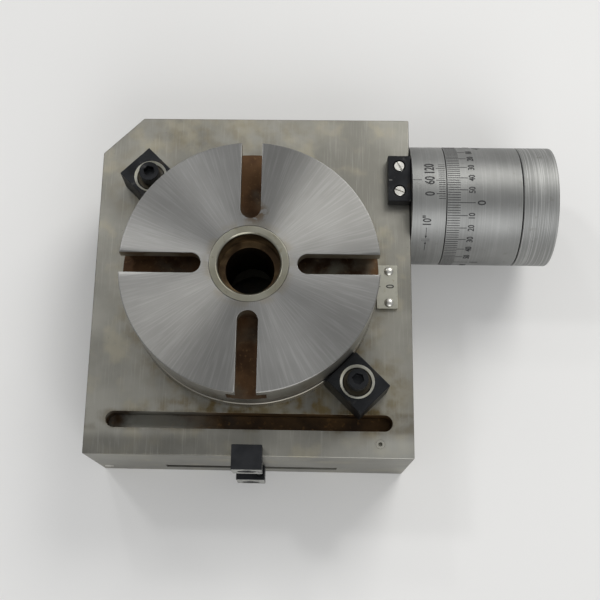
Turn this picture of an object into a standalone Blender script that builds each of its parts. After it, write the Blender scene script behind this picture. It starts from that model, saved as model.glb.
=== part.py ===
"""Rotary table for a milling machine: base, worm-driven round table, dial, clamps and front stop.

Metres. +X points to the dial, +Y to the back, +Z up. The origin is on the table's axis, at the
level of the base's underside.
"""

import math

import bmesh
import bpy
from mathutils import Matrix, Vector

# ---------------------------------------------------------------- driving sizes
GAP = 0.0003  # between pieces that touch
EDGE_BREAK = 0.0006  # ground edges

BASE_WIDTH = 0.162
BASE_FRONT = 0.0865  # table axis to front face
BASE_BACK = 0.0935  # table axis to back face
BASE_HEIGHT = 0.062
CORNER_CUT = 0.0205

TABLE_RADIUS = 0.0625
TABLE_HEIGHT = 0.037  # base top to table top
TABLE_CHAMFER = 0.0006
FLANGE_HEIGHT = 0.008
GROOVE_HEIGHT = 0.006
GROOVE_DEPTH = 0.006
TABLE_TOP = BASE_HEIGHT + TABLE_HEIGHT
FLANGE_TOP = BASE_HEIGHT + FLANGE_HEIGHT
GROOVE_TOP = FLANGE_TOP + GROOVE_HEIGHT
GROOVE_RADIUS = TABLE_RADIUS - GROOVE_DEPTH
BUSH_RADIUS = 0.019
BUSH_LENGTH = 0.043
BUSH_MOUTH_RADIUS = 0.015
BUSH_MOUTH_DEPTH = 0.0115
BUSH_TAPER_TOP_RADIUS = 0.0119  # Morse taper 3, large end
BUSH_TAPER_END_RADIUS = 0.0110

SLOT_NECK = 0.010
SLOT_NECK_DEPTH = 0.006
SLOT_WIDE = 0.019
SLOT_DEPTH = 0.015
SLOT_NECK_END = 0.023  # table axis to the neck's round end
SLOT_WIDE_END = 0.0225

CAVITY_ROOF = 0.011  # thickness of the base above the wheel's cavity
THRUST_RING_THICKNESS = 0.001
HUB_RADIUS = 0.030
SPINDLE_RADIUS = 0.022
SPINDLE_LENGTH = 0.0194  # below the wheel's upper face
SPINDLE_BORE_RADIUS = 0.015
CAVITY_TOP = BASE_HEIGHT - CAVITY_ROOF

WORM_MODULE = 0.00125
WHEEL_TEETH = 72
WHEEL_WIDTH = 0.0148
WORM_PITCH_RADIUS = 0.0075
WORM_LENGTH = 0.024
TOOTH_THICKNESS = 0.00165  # at the pitch line, thinned for backlash
WHEEL_SCREW_CIRCLE = 0.026
WHEEL_PITCH_RADIUS = WORM_MODULE * WHEEL_TEETH / 2
WORM_OFFSET = WHEEL_PITCH_RADIUS + WORM_PITCH_RADIUS
WORM_PITCH = math.pi * WORM_MODULE
WHEEL_TOP = CAVITY_TOP - 2 * GAP - THRUST_RING_THICKNESS
WHEEL_BOTTOM = WHEEL_TOP - WHEEL_WIDTH
WORM_HEIGHT = WHEEL_TOP - WHEEL_WIDTH / 2
HUB_SHOULDER = WHEEL_TOP + GAP
SPINDLE_END = WHEEL_TOP - SPINDLE_LENGTH

SHAFT_RADIUS = 0.005
SLEEVE_RADIUS = 0.0315
SLEEVE_LENGTH = 0.0171
SPIGOT_RADIUS = 0.013
SPIGOT_LENGTH = 0.036
WORM_BUSH_RADIUS = 0.008
DRUM_RADIUS = 0.0315
DRUM_LENGTH = 0.0386
DRUM_WALL = 0.0072
DRUM_BORE_RADIUS = DRUM_RADIUS - DRUM_WALL
KNOB_RADIUS = 0.0315
KNOB_LENGTH = 0.018
KNOB_RECESS_RADIUS = 0.021
KNOB_RECESS_DEPTH = 0.008

TOP_SLOT_WIDTH = 0.008
TOP_SLOT_LENGTH = 0.141
TOP_SLOT_DEPTH = 0.011
TOP_SLOT_INSET = 0.0172  # base's front face to the slot's centre line
TOP_SLOT_OFFSET = BASE_FRONT - TOP_SLOT_INSET
FRONT_GROOVE_HEIGHT = 0.0085
FRONT_GROOVE_LENGTH = 0.090
FRONT_GROOVE_LEVEL = 0.017
FRONT_GROOVE_NECK_DEPTH = 0.006
FRONT_GROOVE_WIDE_HEIGHT = 0.0136
FRONT_GROOVE_DEPTH = 0.011

CLAMP_WIDTH = 0.0200
CLAMP_LENGTH = 0.0238  # table's rim to the clamp's outer face
CLAMP_NOSE_CLEARANCE = 0.0012
CLAMP_LIFT_CLEARANCE = 0.0008
CLAMP_RIM_CLEARANCE = 0.0007
CLAMP_HEIGHT = 0.018
CLAMP_SCREW_OFFSET = 0.0115  # table's rim to the screw
CLAMP_BACK = TABLE_RADIUS + CLAMP_LENGTH
CLAMP_NOSE_TIP = GROOVE_RADIUS + CLAMP_NOSE_CLEARANCE
CLAMP_NOSE_TOP = GROOVE_TOP - CLAMP_LIFT_CLEARANCE
CLAMP_TOP = BASE_HEIGHT + CLAMP_HEIGHT
CLAMP_SCREW_CIRCLE = TABLE_RADIUS + CLAMP_SCREW_OFFSET
CLAMP_POCKET_RADIUS = 0.0071
CLAMP_POCKET_DEPTH = 0.0028
CLAMP_POCKET_CHAMFER = 0.0012
WASHER_RADIUS = 0.0066
WASHER_THICKNESS = 0.0011
WASHER_BOSS_RADIUS = 0.0046
WASHER_HEIGHT = 0.0027

BRACKET_WIDTH = 0.0117
BRACKET_LENGTH = 0.0253
BRACKET_HEIGHT = 0.0057
BRACKET_CENTRE_Y = 0.05765
BRACKET_SCREW_SPACING = 0.0139
BRACKET_COUNTERBORE_RADIUS = 0.0032

PLATE_LENGTH = 0.0228
PLATE_WIDTH = 0.0105
PLATE_CLEARANCE = 0.0007
PLATE_THICKNESS = 0.0015
PLATE_INNER_EDGE = TABLE_RADIUS + PLATE_CLEARANCE
PLATE_OUTER_EDGE = PLATE_INNER_EDGE + PLATE_WIDTH
RIVET_INSET = 0.0061
RIVET_OFFSET_X = PLATE_INNER_EDGE + RIVET_INSET
RIVET_SPACING = 0.0165
RIVET_HEAD_RADIUS = 0.0023

STOP_WIDTH = 0.0148
STOP_THICKNESS = 0.0078  # base's front face to the stop's front faces
STOP_RISE = 0.010
STOP_HEIGHT = 0.015
STOP_SCREW_DROP = 0.0065
STOP_FACE = BASE_FRONT + STOP_THICKNESS
STOP_TOP = BASE_HEIGHT + STOP_RISE
STOP_OVERLAP = 0.0045  # how far the upper block reaches over the base
STOP_LOWER_HEIGHT = 0.016
STOP_LOWER_BELOW = 0.006  # groove's centre line to the lower block's underside
STOP_LOWER_BOTTOM = FRONT_GROOVE_LEVEL - STOP_LOWER_BELOW
STOP_LOWER_TOP = STOP_LOWER_BOTTOM + STOP_LOWER_HEIGHT
STOP_STUD_RADIUS = 0.0016
STOP_STUD_OFFSET = 0.0048

CAP_THICKNESS = 0.006
CAP_LEDGE = 0.0087
CAVITY_RADIUS = WHEEL_PITCH_RADIUS + 0.0045
CAP_RADIUS = CAVITY_RADIUS + CAP_LEDGE
CAP_SCREW_CIRCLE = CAVITY_RADIUS + 0.0045
BEARING_WALL = 0.005
BEARING_RADIUS = HUB_RADIUS + BEARING_WALL
BEARING_FLANGE_RADIUS = BEARING_RADIUS + 0.0025
BEARING_FLANGE_THICKNESS = 0.003
WORM_BORE_END = -0.026
WORM_BUSH_BORE_END = -0.041

BIG_SEGMENTS = 72
MEDIUM_SEGMENTS = 48
SMALL_SEGMENTS = 20
TINY_SEGMENTS = 12

# ---------------------------------------------------------------- scene and materials
for old in list(bpy.data.objects):
    bpy.data.objects.remove(old)

BLACKED = (0.03, 0.03, 0.032)
STEEL = (0.45, 0.45, 0.42)
BRIGHT_STEEL = (0.62, 0.62, 0.60)
BRONZE = (0.55, 0.36, 0.14)
NICKEL_SILVER = (0.66, 0.63, 0.55)


def material(name, colour, roughness):
    made = bpy.data.materials.new(name)
    made.use_nodes = True
    shader = made.node_tree.nodes["Principled BSDF"]
    shader.inputs["Base Color"].default_value = (*colour, 1.0)
    shader.inputs["Metallic"].default_value = 1.0
    shader.inputs["Roughness"].default_value = roughness
    return made


# ---------------------------------------------------------------- building helpers
def add_object(name, points, faces, look, origin=(0, 0, 0)):
    mesh = bpy.data.meshes.new(name)
    shape = bmesh.new()
    made = [shape.verts.new(Vector(point) - Vector(origin)) for point in points]
    for face in faces:
        shape.faces.new([made[index] for index in face])
    bmesh.ops.recalc_face_normals(shape, faces=shape.faces)
    if shape.calc_volume(signed=True) < 0:
        bmesh.ops.reverse_faces(shape, faces=shape.faces)
    shape.to_mesh(mesh)
    shape.free()
    built = bpy.data.objects.new(name, mesh)
    built.location = origin
    bpy.context.scene.collection.objects.link(built)
    if look is not None:
        built.data.materials.append(material(name, *look))
    return built


def frame_of(axis):
    """The turn that carries +Z to the axis."""
    return Vector((0, 0, 1)).rotation_difference(Vector(axis)).to_matrix()


def revolve(name, profile, look, origin=(0, 0, 0), axis=(0, 0, 1), segments=MEDIUM_SEGMENTS,
            closed=False, phase=0.0):
    """Turns a profile of (radius, height) points. An open profile starts and ends on the axis."""
    turn = frame_of(axis)
    start = Vector(origin)
    points = []
    rings = []
    for radius, height in profile:
        if radius == 0.0:
            points.append(start + turn @ Vector((0, 0, height)))
            rings.append([len(points) - 1] * segments)
            continue
        ring = []
        for index in range(segments):
            angle = phase + 2 * math.pi * index / segments
            local = Vector((radius * math.cos(angle), radius * math.sin(angle), height))
            points.append(start + turn @ local)
            ring.append(len(points) - 1)
        rings.append(ring)
    faces = []
    spans = len(rings) if closed else len(rings) - 1
    for level in range(spans):
        low = rings[level]
        high = rings[(level + 1) % len(rings)]
        for index in range(segments):
            after = (index + 1) % segments
            corners = [low[index], low[after], high[after], high[index]]
            single = list(dict.fromkeys(corners))
            if len(single) > 2:
                faces.append(single)
    return add_object(name, points, faces, look, origin)


def stack(name, layers, look, origin=(0, 0, 0), turn=0.0):
    """A solid through outlines of equal point count: layers of (height, [(x, y), ...])."""
    spin = Matrix.Rotation(turn, 3, "Z")
    points = []
    for height, outline in layers:
        points += [spin @ Vector((x, y, 0)) + Vector((0, 0, height)) for x, y in outline]
    count = len(layers[0][1])
    faces = [list(range(count))]
    for level in range(len(layers) - 1):
        for index in range(count):
            after = (index + 1) % count
            first = level * count
            second = first + count
            faces.append([first + index, first + after, second + after, second + index])
    faces.append(list(range(len(points) - count, len(points))))
    return add_object(name, points, faces, look, origin)


def inset(outline, distance):
    """The convex anticlockwise outline moved inwards."""
    moved = []
    count = len(outline)
    for index in range(count):
        before = Vector(outline[index - 1])
        here = Vector(outline[index])
        after = Vector(outline[(index + 1) % count])
        first = (here - before).normalized()
        second = (after - here).normalized()
        first_in = Vector((-first.y, first.x))
        second_in = Vector((-second.y, second.x))
        across = (first_in + second_in) / (1 + first_in.dot(second_in))
        moved.append(tuple(here + across * distance))
    return moved


def eased_prism(name, outline, low, high, look, edge=EDGE_BREAK, origin=(0, 0, 0), turn=0.0):
    narrow = inset(outline, edge)
    layers = [(low, narrow), (low + edge, outline), (high - edge, outline), (high, narrow)]
    return stack(name, layers, look, origin, turn)


def rectangle(left, right, front, back):
    return [(left, front), (right, front), (right, back), (left, back)]


def round_end(inner, outer, half_width, steps):
    """An outline along +X with a half-round inner end at the distance inner from the axis."""
    middle = inner + half_width
    outline = [(outer, half_width)]
    for index in range(steps + 1):
        angle = math.pi / 2 + math.pi * index / steps
        outline.append((middle + half_width * math.cos(angle), half_width * math.sin(angle)))
    outline.append((outer, -half_width))
    return outline


def stadium(half_length, half_width, steps):
    straight = half_length - half_width
    outline = []
    for side in (0, 1):
        for index in range(steps + 1):
            angle = -math.pi / 2 + math.pi * index / steps + math.pi * side
            centre = straight if side == 0 else -straight
            outline.append((centre + half_width * math.cos(angle),
                            half_width * math.sin(angle)))
    return outline


def cut(target, cutter):
    cutter.hide_render = True
    cutter.display_type = "WIRE"
    change = target.modifiers.new(cutter.name, "BOOLEAN")
    change.operation = "DIFFERENCE"
    change.solver = "EXACT"
    change.object = cutter
    return target


def hole(target, name, radius, start, axis, length, segments=TINY_SEGMENTS):
    """A round hole from start along the axis. Start lies outside the piece."""
    profile = [(0.0, 0.0), (radius, 0.0), (radius, length), (0.0, length)]
    cutter = revolve(name, profile, None, start, axis, segments)
    return cut(target, cutter)


def hexagon(across, turn=0.0):
    radius = across / math.sqrt(3)
    angles = [turn + math.pi * index / 3 for index in range(6)]
    return [(radius * math.cos(angle), radius * math.sin(angle)) for angle in angles]


def cap_screw(name, seat, axis, shank_radius, shank_length, head_radius, head_height, socket,
              look):
    """Socket head screw. The seat is the point under the head; the axis points out of the head."""
    bevel = 0.0004
    profile = [
        (0.0, -shank_length),
        (shank_radius, -shank_length),
        (shank_radius, 0.0),
        (head_radius, 0.0),
        (head_radius, head_height - bevel),
        (head_radius - bevel, head_height),
        (0.0, head_height),
    ]
    screw = revolve(name, profile, look, seat, axis, 16)
    turn = frame_of(axis)
    depth = head_height * 0.55
    points = []
    for height in (head_height - depth, head_height + 0.001):
        for x, y in hexagon(socket, math.pi / 12):
            points.append(Vector(seat) + turn @ Vector((x, y, height)))
    faces = [list(range(6)), list(range(6, 12))]
    faces += [[i, (i + 1) % 6, (i + 1) % 6 + 6, i + 6] for i in range(6)]
    return cut(screw, add_object(name + "_socket", points, faces, None, seat))


def ring(name, inner, outer, low, high, look, origin, axis, segments=MEDIUM_SEGMENTS):
    profile = [(inner, low), (outer, low), (outer, high), (inner, high)]
    return revolve(name, profile, look, origin, axis, segments, closed=True)


# ---------------------------------------------------------------- base
half_width = BASE_WIDTH / 2
base_outline = [
    (-half_width, -BASE_FRONT),
    (half_width, -BASE_FRONT),
    (half_width, BASE_BACK),
    (CORNER_CUT - half_width, BASE_BACK),
    (-half_width, BASE_BACK - CORNER_CUT),
]
base = eased_prism("base", base_outline, 0.0, BASE_HEIGHT, (STEEL, 0.4))

cap_recess = CAP_RADIUS + GAP
bearing_seat = BASE_HEIGHT - GAP - BEARING_FLANGE_THICKNESS - GAP
cut(base, revolve("base_cavity", [
    (0.0, -0.001),
    (cap_recess, -0.001),
    (cap_recess, CAP_THICKNESS + GAP),
    (CAVITY_RADIUS, CAP_THICKNESS + GAP),
    (CAVITY_RADIUS, CAVITY_TOP),
    (BEARING_RADIUS + GAP, CAVITY_TOP),
    (BEARING_RADIUS + GAP, bearing_seat),
    (BEARING_FLANGE_RADIUS + GAP, bearing_seat),
    (BEARING_FLANGE_RADIUS + GAP, BASE_HEIGHT + 0.001),
    (0.0, BASE_HEIGHT + 0.001),
], None, segments=60))

worm_axis = (0.0, WORM_OFFSET, WORM_HEIGHT)
along_x = (1, 0, 0)
cut(base, revolve("worm_bore", [
    (0.0, WORM_BUSH_BORE_END),
    (WORM_BUSH_RADIUS + GAP, WORM_BUSH_BORE_END),
    (WORM_BUSH_RADIUS + GAP, WORM_BORE_END),
    (SPIGOT_RADIUS + GAP, WORM_BORE_END),
    (SPIGOT_RADIUS + GAP, half_width + 0.001),
    (0.0, half_width + 0.001),
], None, worm_axis, along_x, 32))

slot_outline = [(x, y - TOP_SLOT_OFFSET)
                for x, y in stadium(TOP_SLOT_LENGTH / 2, TOP_SLOT_WIDTH / 2, 8)]
cut(base, stack("top_slot", [
    (BASE_HEIGHT - TOP_SLOT_DEPTH, slot_outline),
    (BASE_HEIGHT + 0.001, slot_outline),
], None))


def groove_box(name, height, front, back):
    low = FRONT_GROOVE_LEVEL - height / 2
    outline = rectangle(-FRONT_GROOVE_LENGTH / 2, FRONT_GROOVE_LENGTH / 2, front, back)
    return stack(name, [(low, outline), (low + height, outline)], None)


groove_step = FRONT_GROOVE_NECK_DEPTH - BASE_FRONT
cut(base, groove_box("groove_neck", FRONT_GROOVE_HEIGHT, -BASE_FRONT - 0.001,
                     groove_step + 0.0005))
cut(base, groove_box("groove_wide", FRONT_GROOVE_WIDE_HEIGHT, groove_step,
                     FRONT_GROOVE_DEPTH - BASE_FRONT))

# ---------------------------------------------------------------- closing disc under the base
bottom_cap = revolve("bottom_cap", [
    (0.0, 0.0),
    (CAP_RADIUS, 0.0),
    (CAP_RADIUS, CAP_THICKNESS),
    (0.0, CAP_THICKNESS),
], (STEEL, 0.5), segments=48)

CAP_SCREW_LENGTH = 0.013
countersink_radius = 0.0042
for number, degrees in enumerate((30, 150, 270), 1):
    angle = math.radians(degrees)
    spot = (CAP_SCREW_CIRCLE * math.cos(angle), CAP_SCREW_CIRCLE * math.sin(angle), 0.0)
    cut(bottom_cap, revolve(f"cap_hole_{number}", [
        (0.0, -0.001),
        (countersink_radius + 0.001, -0.001),
        (0.0023, 0.0019),
        (0.0023, CAP_THICKNESS + 0.001),
        (0.0, CAP_THICKNESS + 0.001),
    ], None, spot, segments=TINY_SEGMENTS))
    hole(base, f"cap_thread_{number}", 0.0023, (spot[0], spot[1], CAP_THICKNESS - 0.001),
         (0, 0, 1), 0.0085)
    screw = revolve(f"cap_screw_{number}", [
        (0.0, 0.0003),
        (0.0034, 0.0003),
        (0.0016, 0.0021),
        (0.0016, CAP_SCREW_LENGTH),
        (0.0, CAP_SCREW_LENGTH),
    ], (BLACKED, 0.5), spot, segments=TINY_SEGMENTS)
    slot = [(x, y) for x, y in rectangle(-0.006, 0.006, -0.0005, 0.0005)]
    cut(screw, add_object(f"cap_screw_{number}_slot", [
        (spot[0] + x, spot[1] + y, z) for z in (-0.001, 0.0012) for x, y in slot
    ], [[0, 1, 2, 3], [4, 5, 6, 7], [0, 1, 5, 4], [1, 2, 6, 5], [2, 3, 7, 6], [3, 0, 4, 7]],
        None))

# ---------------------------------------------------------------- spindle bearing
revolve("table_bearing", [
    (HUB_RADIUS + GAP, CAVITY_TOP),
    (BEARING_RADIUS, CAVITY_TOP),
    (BEARING_RADIUS, bearing_seat + GAP),
    (BEARING_FLANGE_RADIUS, bearing_seat + GAP),
    (BEARING_FLANGE_RADIUS, BASE_HEIGHT - GAP),
    (HUB_RADIUS + GAP, BASE_HEIGHT - GAP),
], (BRONZE, 0.4), segments=40, closed=True)

ring("thrust_ring", HUB_RADIUS + 0.001, CAVITY_RADIUS - 0.0055, WHEEL_TOP + GAP,
     WHEEL_TOP + GAP + THRUST_RING_THICKNESS, (BRONZE, 0.4), (0, 0, 0), (0, 0, 1), 40)

# ---------------------------------------------------------------- round table with its spindle
bush_seat = TABLE_TOP - BUSH_LENGTH
rotary_plate = revolve("rotary_plate", [
    (BUSH_RADIUS + GAP / 2, TABLE_TOP),
    (TABLE_RADIUS - TABLE_CHAMFER, TABLE_TOP),
    (TABLE_RADIUS, TABLE_TOP - TABLE_CHAMFER),
    (TABLE_RADIUS, GROOVE_TOP),
    (GROOVE_RADIUS, GROOVE_TOP),
    (GROOVE_RADIUS, FLANGE_TOP),
    (TABLE_RADIUS, FLANGE_TOP),
    (TABLE_RADIUS, BASE_HEIGHT + GAP),
    (HUB_RADIUS, BASE_HEIGHT + GAP),
    (HUB_RADIUS, HUB_SHOULDER),
    (SPINDLE_RADIUS, HUB_SHOULDER),
    (SPINDLE_RADIUS, SPINDLE_END),
    (SPINDLE_BORE_RADIUS, SPINDLE_END),
    (SPINDLE_BORE_RADIUS, bush_seat - GAP),
    (BUSH_RADIUS + GAP / 2, bush_seat - GAP),
], (BRIGHT_STEEL, 0.3), segments=BIG_SEGMENTS, closed=True)

for number in range(4):
    turn = math.pi / 2 * number
    neck = round_end(SLOT_NECK_END, TABLE_RADIUS + 0.002, SLOT_NECK / 2, 8)
    wide = round_end(SLOT_WIDE_END, TABLE_RADIUS + 0.002, SLOT_WIDE / 2, 8)
    neck_floor = TABLE_TOP - SLOT_NECK_DEPTH
    cut(rotary_plate, stack(f"slot_wide_{number}", [
        (TABLE_TOP - SLOT_DEPTH, wide),
        (neck_floor, wide),
    ], None, turn=turn))
    cut(rotary_plate, stack(f"slot_neck_{number}", [
        (neck_floor - 0.001, neck),
        (TABLE_TOP + 0.001, neck),
    ], None, turn=turn))

revolve("center_bush", [
    (BUSH_TAPER_END_RADIUS, bush_seat),
    (BUSH_RADIUS, bush_seat),
    (BUSH_RADIUS, TABLE_TOP),
    (BUSH_MOUTH_RADIUS + 0.0008, TABLE_TOP),
    (BUSH_MOUTH_RADIUS, TABLE_TOP - 0.0008),
    (BUSH_MOUTH_RADIUS, TABLE_TOP - BUSH_MOUTH_DEPTH),
    (BUSH_TAPER_TOP_RADIUS, TABLE_TOP - BUSH_MOUTH_DEPTH),
], (BRIGHT_STEEL, 0.25), segments=48, closed=True)

# ---------------------------------------------------------------- worm wheel
addendum = WORM_MODULE
flank = math.tan(math.radians(20))
wheel_tip = WHEEL_PITCH_RADIUS + addendum - 0.00015
wheel_root = WHEEL_PITCH_RADIUS - addendum - 0.00035
lean = WORM_MODULE / 2 / WORM_PITCH_RADIUS / WHEEL_PITCH_RADIUS  # tooth turn per metre of height


def wheel_outline(height):
    shift = (height - WORM_HEIGHT) * lean
    outline = []
    for number in range(WHEEL_TEETH):
        middle = math.pi / 2 + shift + 2 * math.pi * (number + 0.5) / WHEEL_TEETH
        root_half = (TOOTH_THICKNESS / 2 + (WHEEL_PITCH_RADIUS - wheel_root) * flank) / wheel_root
        tip_half = (TOOTH_THICKNESS / 2 - (wheel_tip - WHEEL_PITCH_RADIUS) * flank) / wheel_tip
        for radius, offset in ((wheel_root, -root_half), (wheel_tip, -tip_half),
                               (wheel_tip, tip_half), (wheel_root, root_half)):
            angle = middle + offset
            outline.append((radius * math.cos(angle), radius * math.sin(angle)))
    return outline


worm_wheel = stack("worm_wheel", [
    (height, wheel_outline(height)) for height in (WHEEL_BOTTOM, WHEEL_TOP)
], (BRONZE, 0.35))
hole(worm_wheel, "wheel_bore", SPINDLE_RADIUS + GAP, (0, 0, WHEEL_BOTTOM - 0.001), (0, 0, 1),
     0.02, 48)

WHEEL_SCREW_RADIUS = 0.002
wheel_head_height = 0.004
wheel_seat = WHEEL_BOTTOM + wheel_head_height + GAP
for number, degrees in enumerate((90, 210, 330), 1):
    angle = math.radians(degrees)
    x = WHEEL_SCREW_CIRCLE * math.cos(angle)
    y = WHEEL_SCREW_CIRCLE * math.sin(angle)
    cut(worm_wheel, revolve(f"wheel_hole_{number}", [
        (0.0, WHEEL_BOTTOM - 0.001),
        (0.0038, WHEEL_BOTTOM - 0.001),
        (0.0038, wheel_seat + GAP),
        (WHEEL_SCREW_RADIUS + GAP, wheel_seat + GAP),
        (WHEEL_SCREW_RADIUS + GAP, WHEEL_TOP + 0.001),
        (0.0, WHEEL_TOP + 0.001),
    ], None, (x, y, 0), segments=TINY_SEGMENTS))
    hole(rotary_plate, f"wheel_thread_{number}", WHEEL_SCREW_RADIUS + GAP,
         (x, y, HUB_SHOULDER - 0.001), (0, 0, 1), 0.0095)
    cap_screw(f"wheel_screw_{number}", (x, y, wheel_seat), (0, 0, -1), WHEEL_SCREW_RADIUS,
              0.0185, 0.0035, wheel_head_height, 0.003, (BLACKED, 0.5))

# ---------------------------------------------------------------- worm shaft
WORM_TURN_STEPS = 20
worm_tip = WORM_PITCH_RADIUS + addendum
worm_root = WORM_PITCH_RADIUS - addendum - 0.00025
worm_turns = round(WORM_LENGTH / WORM_PITCH)
tip_half = TOOTH_THICKNESS / 2 - (worm_tip - WORM_PITCH_RADIUS) * flank
root_half = TOOTH_THICKNESS / 2 + (WORM_PITCH_RADIUS - worm_root) * flank
thread_section = [(-root_half, 0.0), (-tip_half, 1.0), (tip_half, 1.0), (root_half, 0.0)]


def thread_solid():
    """The threaded length alone: a helix whose ridge fades out over its first and last half turn.

    The ridge that faces the wheel crosses the plane x = 0 half a pitch from a ridge's middle in
    the wheel, so that ridge and gap are in mesh.
    """
    steps = worm_turns * WORM_TURN_STEPS
    fade = WORM_TURN_STEPS // 2
    points = []
    columns = []
    for step in range(steps + WORM_TURN_STEPS + 1):
        phase = 2 * math.pi * step / WORM_TURN_STEPS
        middle = WORM_PITCH * (phase - math.pi) / (2 * math.pi)
        middle -= WORM_PITCH * ((worm_turns + 1) // 2)
        column = []
        for along, height in thread_section:
            rise = min(1.0, max(0.0, (step - 1) / fade), max(0.0, (steps - step - 1) / fade))
            radius = worm_root + (worm_tip - worm_root) * height * rise
            if step <= steps or along == -root_half:
                points.append((middle + along, WORM_OFFSET + radius * math.cos(phase),
                               WORM_HEIGHT + radius * math.sin(phase)))
                column.append(len(points) - 1)
        columns.append(column)
    faces = []
    for step in range(steps):
        here = columns[step]
        after = columns[step + 1]
        for index in range(3):
            faces.append([here[index], after[index], after[index + 1], here[index + 1]])
        if step + WORM_TURN_STEPS + 1 < len(columns):
            next_turn = columns[step + WORM_TURN_STEPS]
            next_after = columns[step + WORM_TURN_STEPS + 1]
            faces.append([here[3], after[3], next_after[0], next_turn[0]])
    first = [columns[index][0] for index in range(WORM_TURN_STEPS + 1)]
    first += [columns[0][index] for index in (3, 2, 1)]
    last = [columns[steps + index][0] for index in range(WORM_TURN_STEPS + 1)]
    last = last + [columns[steps][index] for index in (3, 2, 1)]
    for loop in (first, last):
        middle = sum(points[index][0] for index in loop) / len(loop)
        points.append((middle, WORM_OFFSET, WORM_HEIGHT))
        hub = len(points) - 1
        count = len(loop)
        faces += [[loop[index], loop[(index + 1) % count], hub] for index in range(count)]
    return points, faces


sleeve_start = half_width + GAP
sleeve_end = sleeve_start + SLEEVE_LENGTH
drum_start = sleeve_end + 0.0004
drum_end = drum_start + DRUM_LENGTH
knob_start = drum_end + 0.0004
knob_end = knob_start + KNOB_LENGTH
recess_floor = knob_end - KNOB_RECESS_DEPTH
spigot_end = sleeve_start - SPIGOT_LENGTH
collar_radius = WORM_BUSH_RADIUS - 0.0004
shaft_end = knob_end - 0.002

points, faces = thread_solid()
worm_shaft = add_object("worm_shaft", points, faces, (BRIGHT_STEEL, 0.3), worm_axis)
shaft_body = revolve("shaft_body", [
    (0.0, WORM_BUSH_BORE_END + 0.0015),
    (SHAFT_RADIUS, WORM_BUSH_BORE_END + 0.0015),
    (SHAFT_RADIUS, WORM_BORE_END + GAP),
    (collar_radius, WORM_BORE_END + GAP),
    (collar_radius, WORM_BORE_END + 0.004),
    (SHAFT_RADIUS, WORM_BORE_END + 0.004),
    (SHAFT_RADIUS, spigot_end - 0.005),
    (collar_radius, spigot_end - 0.005),
    (collar_radius, spigot_end - GAP),
    (SHAFT_RADIUS, spigot_end - GAP),
    (SHAFT_RADIUS, shaft_end - 0.0006),
    (SHAFT_RADIUS - 0.0006, shaft_end),
    (0.0, shaft_end),
], None, worm_axis, along_x, SMALL_SEGMENTS, phase=math.radians(4))
shaft_body.hide_render = True
shaft_body.display_type = "WIRE"
join = worm_shaft.modifiers.new("shaft", "BOOLEAN")
join.operation = "UNION"
join.solver = "EXACT"
join.object = shaft_body

ring("worm_bush_inner", SHAFT_RADIUS + GAP, WORM_BUSH_RADIUS, WORM_BUSH_BORE_END + 0.001,
     WORM_BORE_END - 0.0005, (BRONZE, 0.4), worm_axis, along_x, 24)
ring("worm_bush_outer", SHAFT_RADIUS + GAP, WORM_BUSH_RADIUS, spigot_end + 0.004,
     sleeve_end - 0.004, (BRONZE, 0.4), worm_axis, along_x, 24)

# ---------------------------------------------------------------- vernier sleeve
sleeve_edge = 0.0005
vernier_sleeve = revolve("vernier_sleeve", [
    (WORM_BUSH_RADIUS + GAP, spigot_end),
    (SPIGOT_RADIUS, spigot_end),
    (SPIGOT_RADIUS, sleeve_start),
    (SLEEVE_RADIUS - sleeve_edge, sleeve_start),
    (SLEEVE_RADIUS, sleeve_start + sleeve_edge),
    (SLEEVE_RADIUS, sleeve_end - sleeve_edge),
    (SLEEVE_RADIUS - sleeve_edge, sleeve_end),
    (WORM_BUSH_RADIUS + GAP, sleeve_end),
], (BRIGHT_STEEL, 0.4), worm_axis, along_x, MEDIUM_SEGMENTS, closed=True)

SLEEVE_SCREW_CIRCLE = 0.023
for number, degrees in enumerate((0, 180, 270), 1):
    angle = math.radians(degrees)
    y = WORM_OFFSET + SLEEVE_SCREW_CIRCLE * math.cos(angle)
    z = WORM_HEIGHT + SLEEVE_SCREW_CIRCLE * math.sin(angle)
    seat_x = sleeve_end - 0.0052
    cut(vernier_sleeve, revolve(f"sleeve_hole_{number}", [
        (0.0, sleeve_start - 0.001),
        (0.0023, sleeve_start - 0.001),
        (0.0023, seat_x - GAP),
        (0.0039, seat_x - GAP),
        (0.0039, sleeve_end + 0.001),
        (0.0, sleeve_end + 0.001),
    ], None, (0, y, z), along_x, TINY_SEGMENTS))
    hole(base, f"sleeve_thread_{number}", 0.0023, (half_width + 0.001, y, z), (-1, 0, 0), 0.012)
    cap_screw(f"sleeve_screw_{number}", (seat_x, y, z), along_x, 0.002, 0.0215, 0.0035, 0.004,
              0.003, (BLACKED, 0.5))

# ---------------------------------------------------------------- graduated drum and knob
drum_edge = 0.0004
revolve("dial_drum", [
    (DRUM_BORE_RADIUS, drum_start),
    (DRUM_RADIUS - drum_edge, drum_start),
    (DRUM_RADIUS, drum_start + drum_edge),
    (DRUM_RADIUS, drum_end - drum_edge),
    (DRUM_RADIUS - drum_edge, drum_end),
    (DRUM_BORE_RADIUS, drum_end),
], (BRIGHT_STEEL, 0.4), worm_axis, along_x, MEDIUM_SEGMENTS, closed=True)

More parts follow.
